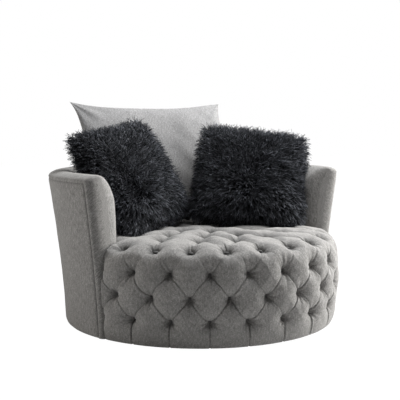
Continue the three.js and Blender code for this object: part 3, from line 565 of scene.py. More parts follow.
def ring_places(seat):
    """Buttons on the seat top as (angle, radius), ring by ring, the foremost ring first."""
    pitch, turn = seat.button_pitch, seat.button_turn
    first = math.ceil((-seat.end_angle - turn) / pitch)
    last = math.floor((seat.end_angle - turn) / pitch)
    shoulder_radius = SEAT_PROFILE[SHOULDER][0] * PUFF_RADIUS
    edge = [(turn + pitch * (k + 0.5), shoulder_radius) for k in range(first, last)]
    rings = [[(math.radians(start + 360 / number * k), share * PUFF_RADIUS) for k in range(number)]
             for share, number, start in TOP_RINGS]
    return [edge, *rings]


def top_pleats(seat):
    """Pleats on the top run from each button to the nearest ones of the next ring in."""
    pleats = []
    rings = [[at(angle, radius, 0.0) for angle, radius in ring] for ring in ring_places(seat)]
    for outer, inner in zip(rings, rings[1:]):
        for start in outer:
            pleats.append((start, min(inner, key=lambda end: np.linalg.norm(end - start))))
        for end in inner:
            near = sorted(outer, key=lambda start: np.linalg.norm(end - start))
            pleats.extend((start, end) for start in near[:2])
    return [(start, end) for start, end in pleats if np.linalg.norm(end - start) < seat.longest_pleat]


def funnel(distance, width, share, seat):
    """The pull of a button: a share of it spreads wide, and the rest stays close round the button."""
    return share * bell(distance, width) + (1 - share) * bell(distance, 1.55 * seat.button_radius, 3)


def gathers(distance, around, phase, seat):
    """Nine small folds that run into a button and end short of its middle."""
    full_from = 0.014
    folds = seat.gather_depth * np.cos(9 * around + phase)
    return folds * bell(distance, seat.gather_reach) * np.clip(distance / full_from, 0, 1)


def top_depth(spots, seat):
    """How far the seat top lies below its crown, and how much shade is painted on it: funnels at the buttons
    and soft pleats between them, with shade painted into the funnels and along the pleats."""
    fold_width, pit_shade = 0.004, 0.036
    flat = spots * (1.0, 1.0, 0.0)
    depth, crease, pleat = np.zeros((3, *spots.shape[:-1]))
    for number, ring in enumerate(ring_places(seat)[1:]):
        for angle, radius in ring:
            offset = flat - at(angle, radius, 0.0)
            distance = np.linalg.norm(offset, axis=-1)
            around = np.arctan2(offset[..., 1], offset[..., 0])
            pit = seat.top_pit_depth * funnel(distance, seat.top_pit_width, 0.55, seat)
            depth = np.maximum(depth, pit + gathers(distance, around, number + angle * 7, seat))
            # Shade is painted into each funnel and out past its rim.
            crease = np.maximum(crease, 2 * bell(distance, pit_shade))
    for start, end in top_pleats(seat):
        run = end - start
        share = np.clip((flat - start) @ run / (run @ run), 0, 1)[..., None]
        sideways = np.array([run[1], -run[0], 0]) / np.linalg.norm(run)
        bow = seat.top_pleat_bow * np.sin(math.pi * share) * sideways
        distance = np.linalg.norm(flat - start - share * run - bow, axis=-1)
        pleat = np.maximum(pleat, seat.top_pleat_depth * bell(distance, seat.top_pleat_width)
                           + seat.fold_depth * bell(distance, fold_width, 1))
        # Shade is painted along each pleat.
        crease = np.maximum(crease, 1.2 * bell(distance, fold_width))
    return depth + pleat * (1 - 0.6 * np.clip(depth / seat.top_pit_depth, 0, 1)), crease


def side_depth(column, row, seat):
    """How far the buttoned side lies below its puffs, and how much shade is painted on it, with less than
    nothing, which paints a highlight, for the lips of the folds. Buttons sit where both diagonals are whole."""
    level = np.clip(row, 0, 3)
    one, other = np.broadcast_arrays(column + level / 2, column - level / 2)

    def off_line(line, cross, wander, step):
        """How far off the nearest diagonal each point lies; the diagonals sway between buttons."""
        swayed = line + 0.05 * np.sin(math.pi * cross) ** 2 * np.sin(wander * line + step * np.floor(cross))
        return swayed - np.round(swayed)

    off_one, off_other = off_line(one, other, 5.1, 2.7), off_line(other, one, 4.3, 1.9)
    width = seat.button_pitch * PUFF_RADIUS
    reach = 1 / math.hypot(1 / width, 1 / (2 * seat.row_height))
    past_one, past_other = one - np.round(one), other - np.round(other)
    across = width * (past_one + past_other) / 2
    up = seat.row_height * (past_one - past_other + (row - level))
    distance, around = np.hypot(across, up), np.arctan2(up, across)

    # The relief fades towards the hem, and between the two rows that close up at the shoulder.
    hem = np.clip((row + 1.75) / 1.1, 0, 1)
    lobe = 1 - 0.7 * np.clip((row - 2.1) / 0.4, 0, 1) * np.clip((3.1 - row) / 0.4, 0, 1)
    shoulder = bell(row - 3, 0.5)
    dome = (np.abs(np.sin(math.pi * off_one)) * np.abs(np.sin(math.pi * off_other))) ** 0.5
    depth = seat.puff_depth * (1 - dome) ** 1.3 * hem * lobe
    depth = depth + seat.pit_depth * funnel(distance, seat.pit_width, 0.5, seat) * (1 + 0.3 * shoulder)

    # Each fold falls steeply on its lower side, where a lip stands beside it clear of the buttons.
    lip_off, lip_width, lip_start, line_width = 0.0045, 0.0028, 0.018, 0.0014
    crease = np.zeros(depth.shape)
    for off, along, sign in ((off_one, other, 1), (off_other, one, -1)):
        wide = np.where(off * sign > 0, seat.fold_width, 0.28 * seat.fold_width)
        strength = (1 - 0.35 * np.sin(math.pi * along) ** 2) * (0.35 + 0.65 * hem) * lobe
        ridge = bell(off * sign * reach + lip_off, lip_width) * (distance > lip_start)
        fold = bell(np.abs(off) * reach, wide, 1)
        depth = depth + (seat.fold_depth * fold - seat.ridge * ridge) * strength
        # Shade is painted along each fold line, and a highlight on the lip beside it.
        line = bell(np.abs(off) * reach, line_width, 1) * strength
        crease = np.where(line > 0.2, np.maximum(crease, line), crease - 1.1 * ridge * strength)
    # Shade is painted round each pit, wider at the shoulder.
    pit = bell(distance, 0.016 + 0.014 * shoulder)
    crease = np.maximum(crease, (0.9 + 1.1 * shoulder) * pit)
    uneven = 0.9 + 0.5 * np.sin(3.7 * np.round(one) + 5.3 * np.round(other) + 2 * around)
    folds = gathers(distance, around, 3 * np.round(one) + np.round(other), seat)
    return depth + folds * uneven, crease


def buttoned_front(angles, seat):
    """The angles counted from -180 to 180 degrees, and whether each is on the buttoned front."""
    signed = np.mod(angles + math.pi, 2 * math.pi) - math.pi
    return signed, np.abs(signed) <= seat.end_angle + 1e-6


def seat_points(angles, places, seat):
    """The cover's outer face at each angle and place along its profile, and the shade and highlight painted
    there.
    """
    least = 0.002
    hidden_top = DECK_TOP + 0.03
    shares = curve_through(SEAT_PROFILE, places)
    ahead, behind = curve_through(SEAT_PROFILE, places + 0.02), curve_through(SEAT_PROFILE, places - 0.02)
    along = (ahead - behind)[:, :2] * (PUFF_RADIUS, SEAT_HEIGHT)
    along /= np.linalg.norm(along, axis=1)[:, None]
    radius, z, row = shares[:, 0] * PUFF_RADIUS, HEM_LEVEL + shares[:, 1] * SEAT_HEIGHT, shares[:, 2]

    # Between the arms the cover goes down to the hem; inside the shell it ends on the deck.
    signed, front = buttoned_front(angles[:, None], seat)
    tucked = FOOT_LEVEL + (z - HEM_LEVEL) * (hidden_top - DECK_TOP) / (hidden_top - HEM_LEVEL)
    heights = np.where(front | (z > hidden_top), z, tucked)
    radii = np.where(front, radius, inside_reach(radius, seat))
    spots = at(angles[:, None], radii, heights)

    side, side_painted_shade_and_highlight = side_depth((signed - seat.button_turn) / seat.button_pitch, row, seat)
    top, top_painted_shade = top_depth(spots, seat)
    still_side, inward = np.clip(4.1 - row, 0, 1), np.clip(row - 3, 0, 1)
    fade = still_side**2 * (3 - 2 * still_side) * front
    depth = np.maximum(side * fade, top * inward)
    depth = depth + 0.0011 * waves(spots, 0.09, 4) * np.clip(row + 1.8, 0, 1)
    over_core = (row > CORE_ROW) & (radii < FRAME_RADIUS + 0.02)
    radii, heights = radii - along[:, 1] * depth, heights + along[:, 0] * depth
    heights = np.where(over_core, np.maximum(heights, CORE_TOP + least), heights)
    radii = np.where((row <= CORE_ROW) & front, np.maximum(radii, FRAME_RADIUS + least), radii)
    # The side's painted shade and highlight fade out inward, where the top's painted shade takes over.
    crease = side_painted_shade_and_highlight * fade
    return (at(angles[:, None], np.maximum(radii, 0), heights),
            np.where(row < 3.3, crease, np.maximum(crease, top_painted_shade * inward)))


def close_middle(mesh):
    """Brings the rings of points on the swivel axis together, above and inside the cover."""
    work = bmesh.new()
    work.from_mesh(mesh)
    middle = [vertex for vertex in work.verts if math.hypot(vertex.co.x, vertex.co.y) < 1e-3]
    bmesh.ops.remove_doubles(work, verts=middle, dist=5e-4)
    work.to_mesh(mesh)
    work.free()


def make_seat_cover(seat, material):
    """The cover with its stuffing: buttoned outside, and hollow over the drum wall and the foam core."""
    fine, coarse, cloth_length = 0.0023, 0.0042, 1.1
    past_shoulder = SHOULDER + 1
    outline = [(share * PUFF_RADIUS, rise * SEAT_HEIGHT, 0) for share, rise, _ in SEAT_PROFILE]
    side, top = even_places(outline, fine), even_places(outline, coarse)
    places = np.concatenate([side[side < past_shoulder], top[top >= past_shoulder]])
    rear_start = seat.end_angle + math.radians(0.1)
    angles = np.concatenate([
        np.linspace(-seat.end_angle, seat.end_angle, 2 * round(seat.end_angle * PUFF_RADIUS / fine)),
        np.linspace(rear_start, 2 * math.pi - rear_start, 180)])
    outer, crease = seat_points(angles, places, seat)
    front = buttoned_front(angles, seat)[1]
    wall = np.where(front, FRAME_RADIUS + WALL_GAP, seat.inside_radius - 0.022)
    core = wall - np.where(front, 0.01, 0.0017)
    core_top = CORE_TOP + BOARD_GAP
    hollow = [at(angles, 0, core_top), at(angles, core, core_top), at(angles, core, FOOT_LEVEL),
              at(angles, wall, FOOT_LEVEL), at(angles, wall, np.where(front, HEM_LEVEL + 0.0004, FOOT_LEVEL))]
    points = np.concatenate([outer, np.stack(hollow, axis=1)], axis=1)
    rows, columns = points.shape[:2]
    uv = cloth_map(angles[:, None] * PUFF_RADIUS, np.linspace(0, cloth_length, columns))
    faces = grid_faces(rows, columns, round_rows=True)
    cover = new_object("buttoned_seat_cover", points, faces, material, uv)
    # The outer face carries its painted shade and highlight; the hollow carries none.
    mark(cover, "crease", np.pad(crease, ((0, 0), (0, len(hollow)))))
    close_middle(cover.data)
    return dress(cover, "chair", ["tufted_seat_cover"])


def button_spots(seat):
    """Each button as its angle and its place along the seat's profile."""
    spots = []
    for row, place_along in enumerate(SIDE_ROWS):
        for k in range(-6, 7):
            angle = seat.button_turn + seat.button_pitch * (k + row % 2 / 2)
            if abs(angle) < seat.end_angle - math.radians(2):
                spots.append((angle, place_along))
    inward = [-share for share, _, _ in SEAT_PROFILE[TOP_START:]]
    for angle, radius in sum(ring_places(seat), []):
        behind = abs(math.remainder(angle, 2 * math.pi)) > seat.end_angle
        if not behind or radius <= seat.same_radius:
            place_along = np.interp(-radius / PUFF_RADIUS, inward, range(TOP_START, len(SEAT_PROFILE)))
            spots.append((angle, float(place_along)))
    return spots


def make_buttons(seat, material):
    """Covered buttons that lie half sunk in their pits and face the way the cover does there."""
    facings, centres = [], []
    around = np.arange(-1, 2)
    for angle, along in button_spots(seat):
        near = seat_points(angle + math.radians(1.6) * around, along + 0.35 * around, seat)[0]
        facing = np.cross(near[2, 1] - near[0, 1], near[1, 2] - near[1, 0])
        facing /= np.linalg.norm(facing)
        if facing @ at(angle, 1, 0.7) < 0:
            facing = -facing
        centres.append(near[1, 1] + facing * 0.4 * seat.button_radius)
        facings.append(facing)
    source = new_object("button_places", np.array(centres), [], material)
    mark(source, "facing", facings)
    growth = Growth("covered_buttons", {"Radius": "Float", "Material": "Material"})
    ball = growth.out("GeometryNodeMeshUVSphere", {
        "Segments": 20, "Rings": 12, "Radius": growth.given["Radius"]})
    flat = growth.out("GeometryNodeTransform", {"Geometry": ball, "Scale": (1, 1, 0.5)})
    smooth = growth.out("GeometryNodeSetShadeSmooth", {"Geometry": flat})
    turn = growth.out("FunctionNodeAlignRotationToVector", {
        "Vector": growth.attribute("facing", "FLOAT_VECTOR")}, axis="Z")
    growth.end(growth.out("GeometryNodeInstanceOnPoints", {
        "Points": growth.given["Geometry"], "Instance": smooth, "Rotation": turn}))
    buttons = growth.grow(source, "seat_buttons", {"Radius": seat.button_radius, "Material": material})
    bpy.data.objects.remove(source)
    return dress(buttons, "chair", ())


def shell_radius(z, shell):
    """The shell's outside at a height."""
    share = np.clip((z - HEM_LEVEL) / (shell.seam_height - HEM_LEVEL), 0, None)
    return shell.hem_radius + shell.flare * share**shell.flare_power


def pad_face(shell):
    """The pad's face as (radius, height), from its foot on the deck over the roll to the outer seam."""
    reach = shell_radius(shell.seam_height, shell) - shell.bulge_radius
    rise = shell.seam_height - FOOT_LEVEL
    points = [(shell.bulge_radius + out * reach, FOOT_LEVEL + up * rise + roll * shell.roll_height, 0)
              for out, up, roll in PAD_PROFILE]
    face = curve_through(points, even_places(points, 0.006))[:, :2]
    face[:, 0] -= shell.seam_groove * bell(run_along(face[::-1])[::-1], SEAM_REACH, 1)
    return face


def make_pad(shell, material):
    """The pad of back and arms: sections round the chair, which close in to a nose at each end."""
    face = pad_face(shell)
    face_rising = np.maximum.accumulate(face[:, 1])
    seam, strip = shell.seam_height, FRAME_RADIUS + WALL_GAP
    seam_radius = shell_radius(seam, shell)
    nose_back = shell.panel_angle - math.radians(0.12)

    # From the outer seam a section of a nose goes down the front of the arm and under it. Elsewhere
    # it hooks over the top rail and comes down inside it.
    levels = np.linspace(seam, HEM_LEVEL, 20)[1:]
    nose_rest = np.array([*zip(shell_radius(levels, shell), levels), (strip, HEM_LEVEL), (strip, FOOT_LEVEL)])
    rail_outside, rail_inside = seam_radius - 0.0075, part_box("shell_top_rail")[1].x - 0.0285
    rail = [(rail_outside, seam), (rail_outside, LIP_LEVEL + BOARD_GAP), (rail_inside, LIP_LEVEL + BOARD_GAP),
            (rail_inside, RAIL_BOTTOM), (face[0, 0] + 0.045, FOOT_LEVEL)]
    count = len(nose_rest)
    pad_rest = np.array([rail[k * len(rail) // count] for k in range(count)])
    pad_rest += np.linspace(0, 1e-4, count)[:, None]

    def width_at(angle, back, power):
        """An arm's share of its full width, which it keeps for longer with a higher power."""
        share = min(max((back - angle) / (back - shell.tip_angle), 0), 1)
        return math.sqrt(1 - (0.985 * share) ** power)

    def rounded(angle, radii, outer, inner):
        """Both faces of an arm close in towards its tip, the inner one sooner and rounder."""
        middle = 0.45 * inner + 0.55 * outer
        offset = radii - middle
        return middle + np.where(offset > 0, offset * width_at(angle, nose_back, 2.5),
                                 offset * width_at(angle, shell.inner_angle, 2.7))

    def inside_at(z):
        return np.interp(np.minimum(z, seam), face_rising, face[:, 0])

    def nose(angle):
        radii, z = np.concatenate([face, nose_rest]).T
        behind = (nose_back - angle) * shell.hem_radius
        groove = 1.3 * shell.seam_groove * bell(behind, SEAM_REACH, 1) * (np.arange(len(z)) >= len(face))
        outer = shell_radius(np.minimum(z, seam), shell) - groove
        inner = np.where(z <= FOOT_LEVEL, strip, inside_at(z))
        rise = np.clip(z - FOOT_LEVEL, 0, None) / (seam - FOOT_LEVEL)
        drop = (1 - width_at(angle, nose_back, 2.5)) * shell.tip_drop * rise**2
        return np.stack([rounded(angle, radii - groove, outer, inner), z - drop], axis=1)

    def arm(angle):
        radii, z = face.T
        closed = rounded(abs(math.remainder(angle, 2 * math.pi)), radii, seam_radius, inside_at(z))
        return np.concatenate([np.stack([closed, z], axis=1), pad_rest])

    whole = 2 * math.pi
    noses = nose_back - (nose_back - shell.tip_angle) * np.sin(np.linspace(0, math.pi / 2, 16))
    near = nose_back + np.linspace(0, 1, 14) ** 1.3 * math.radians(5)
    body = np.concatenate([near[:-1], np.linspace(near[-1], whole - near[-1], 220), whole - near[-2::-1]])
    sections = [(angle, nose(angle)) for angle in noses[::-1]]
    sections += [(angle, arm(angle)) for angle in body]
    sections += [(whole - angle, nose(angle)) for angle in noses]
    points = np.stack([at(angle, *section.T) for angle, section in sections])

    soft = 0.0018 * waves(points, 0.16, 11) + 0.0007 * waves(points, 0.045, 12)
    weight = np.zeros(points.shape[1])
    weight[:len(face)] = np.sin(np.linspace(0, math.pi, len(face))) ** 0.4
    outward = points * (1, 1, 0)
    outward /= np.linalg.norm(outward, axis=-1)[..., None]
    points = points - outward * (soft * weight)[..., None]
    round_run = run_along(points)
    uv = cloth_map(round_run - round_run[-1] / 2, run_along(np.concatenate([face, nose_rest])))
    faces = [corners[::-1] for corners in capped_faces(*points.shape[:2])]
    pad = new_object("arm_and_back_pad", points, faces, material, uv, 60)
    return dress(pad, "chair", ["shell_pad"])


def make_outer_panel(shell, material):
    """The outer cover: one cloth over thin wadding, drawn in at its seams and wrapped under the hem."""
    start, end = shell.panel_angle, 2 * math.pi - shell.panel_angle
    angles = np.linspace(start, end, 240)[:, None]
    levels = np.linspace(HEM_LEVEL, shell.seam_height, 64)
    edge = np.minimum(np.minimum(angles - start, end - angles) * shell.hem_radius, shell.seam_height - levels)
    drawn = 0.8 * shell.seam_groove * bell(edge, 0.0035, 1) + 0.004 * bell(levels - HEM_LEVEL, 0.004, 1)
    plain = shell_radius(levels, shell)
    soft = 0.0012 * waves(at(angles, plain - drawn, levels), 0.2, 21) * np.clip(edge / 0.03, 0, 1) - 0.001
    outer = at(angles, plain - drawn + soft, levels)
    back = at(angles, plain[::-1] - shell.panel_thickness, np.minimum(levels[::-1], LIP_LEVEL))
    points = np.concatenate([outer, back], axis=1)
    uv = cloth_map(angles * shell.hem_radius, np.concatenate([levels, levels[::-1]]))
    panel = new_object("outer_back_cover", points, capped_faces(*points.shape[:2]), material, uv)
    # Shade is painted dark along the seams.
    mark(panel, "crease", np.pad(1.2 * bell(edge, 0.0045), ((0, 0), (0, len(levels)))))
    return dress(panel, "chair", ["outer_panel"])


def pillow_matrix(pillow):
    """How a pillow is turned from its own frame, in which it stands upright and faces -Y."""
    turned = Matrix.Rotation(pillow["turn"], 3, "Z") @ Matrix.Rotation(-pillow["lean"], 3, "X")
    return np.array(turned @ Matrix.Rotation(pillow["roll"], 3, "Y"))


def pillow_form(pillow, cells, seed=3, wrinkle=0.0):
    """A stuffed cushion in its own frame: points, faces, cloth places, and the share of the pile
    that each point has, which is whole in front and falls from the rim to the middle of the rear."""
    s = np.sin(np.linspace(-math.pi / 2, math.pi / 2, cells + 1))
    u, v = np.meshgrid(s, s, indexing="ij")
    from_side, from_end = 1 - np.abs(u), 1 - np.abs(v)
    rounding = 1 - pillow["corner_round"] * u**4 * v**4
    sag = 1 - np.abs(u) ** (pillow["sag_power"] - pillow["sag_skew"] * u)
    side_sag = 1 - np.abs(v) ** pillow["side_power"]
    x = pillow["width"] / 2 * u * (1 - pillow["side_draw"] * side_sag) * rounding
    z = pillow["height"] / 2 * v * (1 - pillow["draw_in"] * sag) * rounding
    crown = np.sqrt(np.clip((1 - np.abs(u) ** 3) * (1 - np.abs(v) ** 3), 0, None))
    crown = crown * (1 - pillow["corner_pinch"] * u**4 * v**4)
    edge = np.clip(crown / 0.5, 0, 1)
    corner = bell(np.hypot(from_side, from_end), 0.3)
    angle = np.arctan2(from_end, from_side)
    folds = np.cos(7 * angle + 2 * np.sign(u) + 3 * np.sign(v)) * corner * 1.6 * wrinkle

    def sheet(side):
        spot = np.stack([x, side * crown * pillow["thickness"] / 2, z], axis=-1)
        soft = wrinkle * 0.8 * waves(spot, 0.22, seed + side) * edge
        spot[..., 1] += side * (folds * edge + soft)
        return spot

    # Both sheets share the points of the rim.
    n = cells + 1
    index = np.arange(n * n).reshape(n, n)
    inner = np.zeros((n, n), bool)
    inner[1:-1, 1:-1] = True
    rear_index = index.copy()
    rear_index[inner] = n * n + np.arange(inner.sum())
    points = np.concatenate([sheet(-1).reshape(-1, 3), sheet(1)[inner]])
    faces = []
    for table, order in ((index, 1), (rear_index, -1)):
        quads = np.stack([table[:-1, :-1], table[1:, :-1], table[1:, 1:], table[:-1, 1:]], axis=-1)
        faces += quads.reshape(-1, 4)[:, ::order].tolist()
    uv = points[:, [0, 2]]
    uv[n * n:, 0] += 2.0
    return points, faces, uv, np.concatenate([np.ones(n * n), 1 - crown[inner]])


def place_pillow(points, pillow):
    """Bends a pillow forward at its lower corners and sets it in the chair."""
    across = 2 * points[:, 0] / pillow["width"]
    rise = np.clip(points[:, 2] / pillow["height"] + 0.5, 0, 1)
    points = points.copy()
    points[:, 1] -= pillow["bend"] * across**2 * (1 - rise**1.2)
    return points @ pillow_matrix(pillow).T + np.array(pillow["middle"])


def make_filling(body, pillow, material):
    """The sewn inner cushion, the cover's shape a little smaller all round."""
    share = 0.9
    inside = {**pillow, "width": share * pillow["width"], "height": share * pillow["height"],
              "thickness": pillow["thickness"] - 0.026, "corner_round": 0.12,
              "bend": pillow["bend"] * share**2}
    points, faces, uv, _ = pillow_form(inside, 24)
    filling = new_object(f"{body}_filling", place_pillow(points, inside), faces, material, uv)
    return dress(filling, body, [f"{body}_insert"])


def make_back_pillow(pillow, material, cotton):
    points, faces, uv, _ = pillow_form(pillow, 130, 5, 0.005)
    cover = new_object("back_pillow", place_pillow(points, pillow), faces, material, uv)
    make_filling("back_pillow", pillow, cotton)
    return dress(cover, "back_pillow", ["back_pillow_cover"])


def fur_tree():
    """Locks of pile: bent, tapered strands combed outward over the pillow, in clumps, drooping a little."""
    fur = Growth("long_pile", {
        "Length": "Float", "Radius": "Float", "Density": "Float", "Droop": "Float", "Loose": "Float",
        "Steps": "Int", "Where": "String", "Seed": "Int", "Material": "Material"})
    given = fur.given

    def vector_math(operation, one, other):
        second = "Scale" if operation == "SCALE" else 1
        return fur.out("ShaderNodeVectorMath", {0: one, second: other}, operation=operation)

    def scatter(reach, seed):
        return fur.random((-reach,) * 3, (reach,) * 3, seed, "FLOAT_VECTOR")

    def store(name, geometry, value, domain):
        return fur.out("GeometryNodeStoreNamedAttribute", {
            "Geometry": geometry, "Name": name, "Value": value}, data_type="FLOAT", domain=domain)

    # One strand, bent over by its droop and tapered towards its tip.
    along = fur.out("GeometryNodeSplineParameter")
    bent = fur.out("ShaderNodeCombineXYZ", {"X": given["Droop"], "Z": 0.88})
    strand = fur.out("GeometryNodeCurveQuadraticBezier", {
        "Resolution": given["Steps"], "Start": (0, 0, 0),
        "Middle": vector_math("SCALE", (0, 0, 0.6), given["Length"]),
        "End": vector_math("SCALE", bent, given["Length"])})
    taper = fur.out("ShaderNodeMapRange", {
        "Value": along, "From Min": 0.25, "From Max": 1.0, "To Min": 1.0, "To Max": 0.1})
    thin = fur.out("GeometryNodeSetCurveRadius", {"Curve": strand, "Radius": taper})
    ring = fur.out("GeometryNodeCurvePrimitiveCircle", {"Resolution": 3, "Radius": given["Radius"]})
    lock = fur.out("GeometryNodeCurveToMesh", {
        "Curve": store("along", thin, along, "POINT"), "Profile Curve": ring})

    # Each strand heads the way the cloth is combed there, with swirls that clump it and some looseness.
    clump = fur.node("ShaderNodeTexNoise", {
        "Vector": fur.out("GeometryNodeInputPosition"), "Scale": 30.0, "Detail": 1.0}).outputs["Color"]
    swirl = vector_math("SCALE", vector_math("SUBTRACT", clump, (0.5, 0.5, 0.5)), 1.2)
    loose = vector_math("SCALE", scatter(1.0, 1), given["Loose"])
    combed = vector_math("ADD", fur.attribute("comb", "FLOAT_VECTOR"), swirl)
    upright = fur.out("FunctionNodeAlignRotationToVector", {"Vector": vector_math("ADD", combed, loose)},
                      axis="Z")
    sweep = vector_math("ADD", fur.attribute("sweep", "FLOAT_VECTOR"), scatter(0.7, 2))
    turned = fur.out("FunctionNodeAlignRotationToVector", {"Rotation": upright, "Vector": sweep},
                     axis="X", pivot_axis="Z")
    spread = fur.out("GeometryNodeDistributePointsOnFaces", {
        "Mesh": given["Geometry"], "Selection": fur.attribute(given["Where"], "FLOAT"),
        "Density": given["Density"], "Seed": given["Seed"]}, distribute_method="RANDOM")
    placed = fur.out("GeometryNodeInstanceOnPoints", {
        "Points": spread, "Instance": lock, "Rotation": turned, "Scale": fur.random(0.65, 1.2, 4)})
    fur.end(store("lock_tone", placed, fur.random(0.0, 1.0, 5), "INSTANCE"))
    return fur


def comb_pile(core, pillow, pile_share):
    """Marks where the pile grows and which way it lies: off the cloth, and outward from the parting."""
    spots, normals = np.zeros((2, 3 * len(core.data.vertices)))
    core.data.vertices.foreach_get("co", spots)
    core.data.vertices.foreach_get("normal", normals)
    spots, normals = spots.reshape(-1, 3), normals.reshape(-1, 3)
    turned = pillow_matrix(pillow)
    front = turned @ (0.0, -1.0, 0.0)
    across, up = pillow["parting"]
    off_middle = spots - np.array(pillow["middle"])
    outward = off_middle - turned @ (across, 0.0, up)
    outward -= (outward @ front)[:, None] * front
    reach = np.linalg.norm(outward, axis=1, keepdims=True)
    outward = outward / np.maximum(reach, 0.02)
    furry = np.clip((pile_share - 0.12) * 9, 0, 1)
    rear = (off_middle @ front < 0).astype(float)
    lift = 0.6 - 0.42 * rear[:, None]
    comb = lift * normals + 0.62 * outward * np.clip(reach / 0.2, 0, 1) + (0.0, 0.0, -0.05)
    sweep = 0.6 * outward + (0.0, 0.0, -0.55)
    for name, values in zip(PILE_MARKS, (comb, sweep, furry, furry * (1 - rear), rear)):
        mark(core, name, values)


def make_throw_pillow(side, growth, pile, skin, fur, cotton):
    """A throw pillow: a stuffed form under long locks and finer hairs."""
    pillow = {**THROW_SIZE, **THROW_PILLOWS[side]}
    body = f"fur_pillow_{side}"
    points, faces, uv, pile_share = pillow_form(pillow, 56, 9, 0.002)
    core = new_object(f"{body}_form", place_pillow(points, pillow), faces, skin, uv)
    comb_pile(core, pillow, pile_share)
    locks = {"Length": pile.lock_length, "Radius": pile.lock_radius, "Density": pile.lock_density,
             "Droop": 0.42, "Loose": 0.13, "Steps": 4, "Seed": 3, "Material": fur}
    hairs = {"Length": pile.hair_length, "Radius": pile.hair_radius, "Density": pile.hair_density,
             "Droop": 0.5, "Loose": 0.15, "Steps": 2, "Seed": 8, "Material": fur}
    coats = [growth.grow(core, f"{body}_{name}", {**strands, "Where": where}) for name, strands, where in (
        ("long_pile", locks, "furry"), ("fine_pile_front", hairs, "furry_front"),
        ("fine_pile_rear", hairs, "furry_rear"))]
    for name in PILE_MARKS:
        core.data.attributes.remove(core.data.attributes[name])
    dress(core, body, [f"{body}_cover"])
    make_filling(body, pillow, cotton)
    for coat in coats:
        dress(coat, body, [f"{body}_cover"])


def paint(material, *names):
    for name in names:
        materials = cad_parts[name].data.materials
        materials.clear()
        materials.append(material)


def numbered(prefix, number):
    return [f"{prefix}_{k + 1}" for k in range(number)]


class ChairOperator:
    """Shared by the steps that dress the chair."""
    bl_options = {"REGISTER", "UNDO"}

    def execute(self, context):
        self.build(context.scene)
        return {"FINISHED"}


class CHAIR_OT_stage(ChairOperator, bpy.types.Operator):
    """Camera, lamps, white room and pale floor"""
    bl_idname = "chair.stage"
    bl_label = "Stage"

    def build(self, scene):
        stage = scene.chair_stage
        camera = add_object("camera", bpy.data.cameras.new("camera"))
        camera.data.lens = stage.lens
        camera.data.sensor_width = 36
        camera.data.dof.use_dof = False
        camera.location = stage.camera
        camera.rotation_euler = Euler((math.pi / 2 - stage.pitch, 0, stage.heading))
        scene.camera = camera
        for name, (spot, size, power, tone) in LAMPS.items():
            lamp = add_object(name, bpy.data.lights.new(name, "AREA"))
            lamp.data.shape = "DISK"
            lamp.data.size = size
            lamp.data.energy = power
            lamp.data.color = tone
            lamp.location = spot
            aim = Vector(LAMP_TARGET) - Vector(spot)
            lamp.rotation_euler = aim.to_track_quat("-Z", "Y").to_euler()
        scene.view_settings.view_transform = "Standard"
        self.make_world(scene)
        self.make_floor()

    def make_world(self, scene):
        """White to the camera, and much dimmer as a light."""
        scene.world = bpy.data.worlds.new("white_room")
        scene.world.use_nodes = True
        room = Nodes(scene.world.node_tree)
        seen = room.node("ShaderNodeLightPath").outputs
        direct = room.math("MAXIMUM", seen["Is Camera Ray"], seen["Is Transmission Ray"])
        background = room.tree.nodes["Background"].inputs
        room.feed(background["Color"], (1, 1, 1))
        room.feed(background["Strength"], room.node("ShaderNodeMapRange", {
            "Value": direct, "To Min": 0.095, "To Max": 1.0}).outputs[0])

    def make_floor(self):
        """Pale under the lamps, and close to white where the camera sees it."""
        shader = Shader("pale_floor")
        material = shader.finish(shader.ramp(shader.noise(0.8), (0.3, 0.58), (0.7, 0.62)), 0.9)
        seen = shader.node("ShaderNodeLightPath").outputs["Is Camera Ray"]
        blend = shader.node("ShaderNodeMixShader", {
            0: shader.math("MULTIPLY", seen, 0.93), 1: shader.surface.outputs[0],
            2: shader.node("ShaderNodeEmission", {"Strength": 1.08}).outputs[0]})
        shader.feed(shader.tree.nodes["Material Output"].inputs["Surface"], blend.outputs[0])
        half, sunk = 12.0, 0.0002
        corners = np.array([[-half, -half, -sunk], [half, -half, -sunk], [half, half, -sunk],
                            [-half, half, -sunk]])
        floor = new_object("floor", corners, [[0, 1, 2, 3]], material)


class CHAIR_OT_frame(ChairOperator, bpy.types.Operator):
    """Finishes of the frame, springs, filling and swivel"""
    bl_idname = "chair.frame"
    bl_label = "Frame and swivel"

    def build(self, scene):
        finish = scene.chair_finish
        paint(wood("plywood", finish.plywood, (3, 34, 34), layers=True), "plinth_board", "seat_base_board",
              "deck_frame", "drum_front_wall", "shell_bottom_rail", "shell_top_rail", "shell_lining")
        paint(wood("pine", finish.pine, (40, 40, 4)), *numbered("drum_post", 4), *numbered("shell_post", 6))
        paint(metal("pressed_steel", finish.steel, 0.3), "swivel_plate_lower", "swivel_plate_upper",
              "spring_rail_front", "spring_rail_rear")
        paint(metal("spring_wire", scaled(finish.steel, 0.7), 0.35), *numbered("zigzag_spring", 5))
        paint(metal("plated_fixings", scaled(finish.steel, 1.15), 0.22), "ball_cage",
              *numbered("lower_screw", 4), *numbered("upper_screw", 4), *numbered("frame_bolt", 4))
        paint(moulded("glide_plastic", (0.016, 0.016, 0.017)), *numbered("floor_glide", 5))
        paint(plain_cloth("dust_cloth", (0.02, 0.02, 0.021), 260), "dust_cover")
        paint(plain_cloth("grey_felt", (0.075, 0.075, 0.078), 180, 0.5), "deck_felt")
        paint(open_foam("cushion_foam", (0.78, 0.7, 0.45)), "seat_foam_core")
        paint(moulded("coil_zip", (0.07, 0.07, 0.075), 0.4), "back_pillow_zip", "fur_pillow_left_zip",
              "fur_pillow_right_zip")


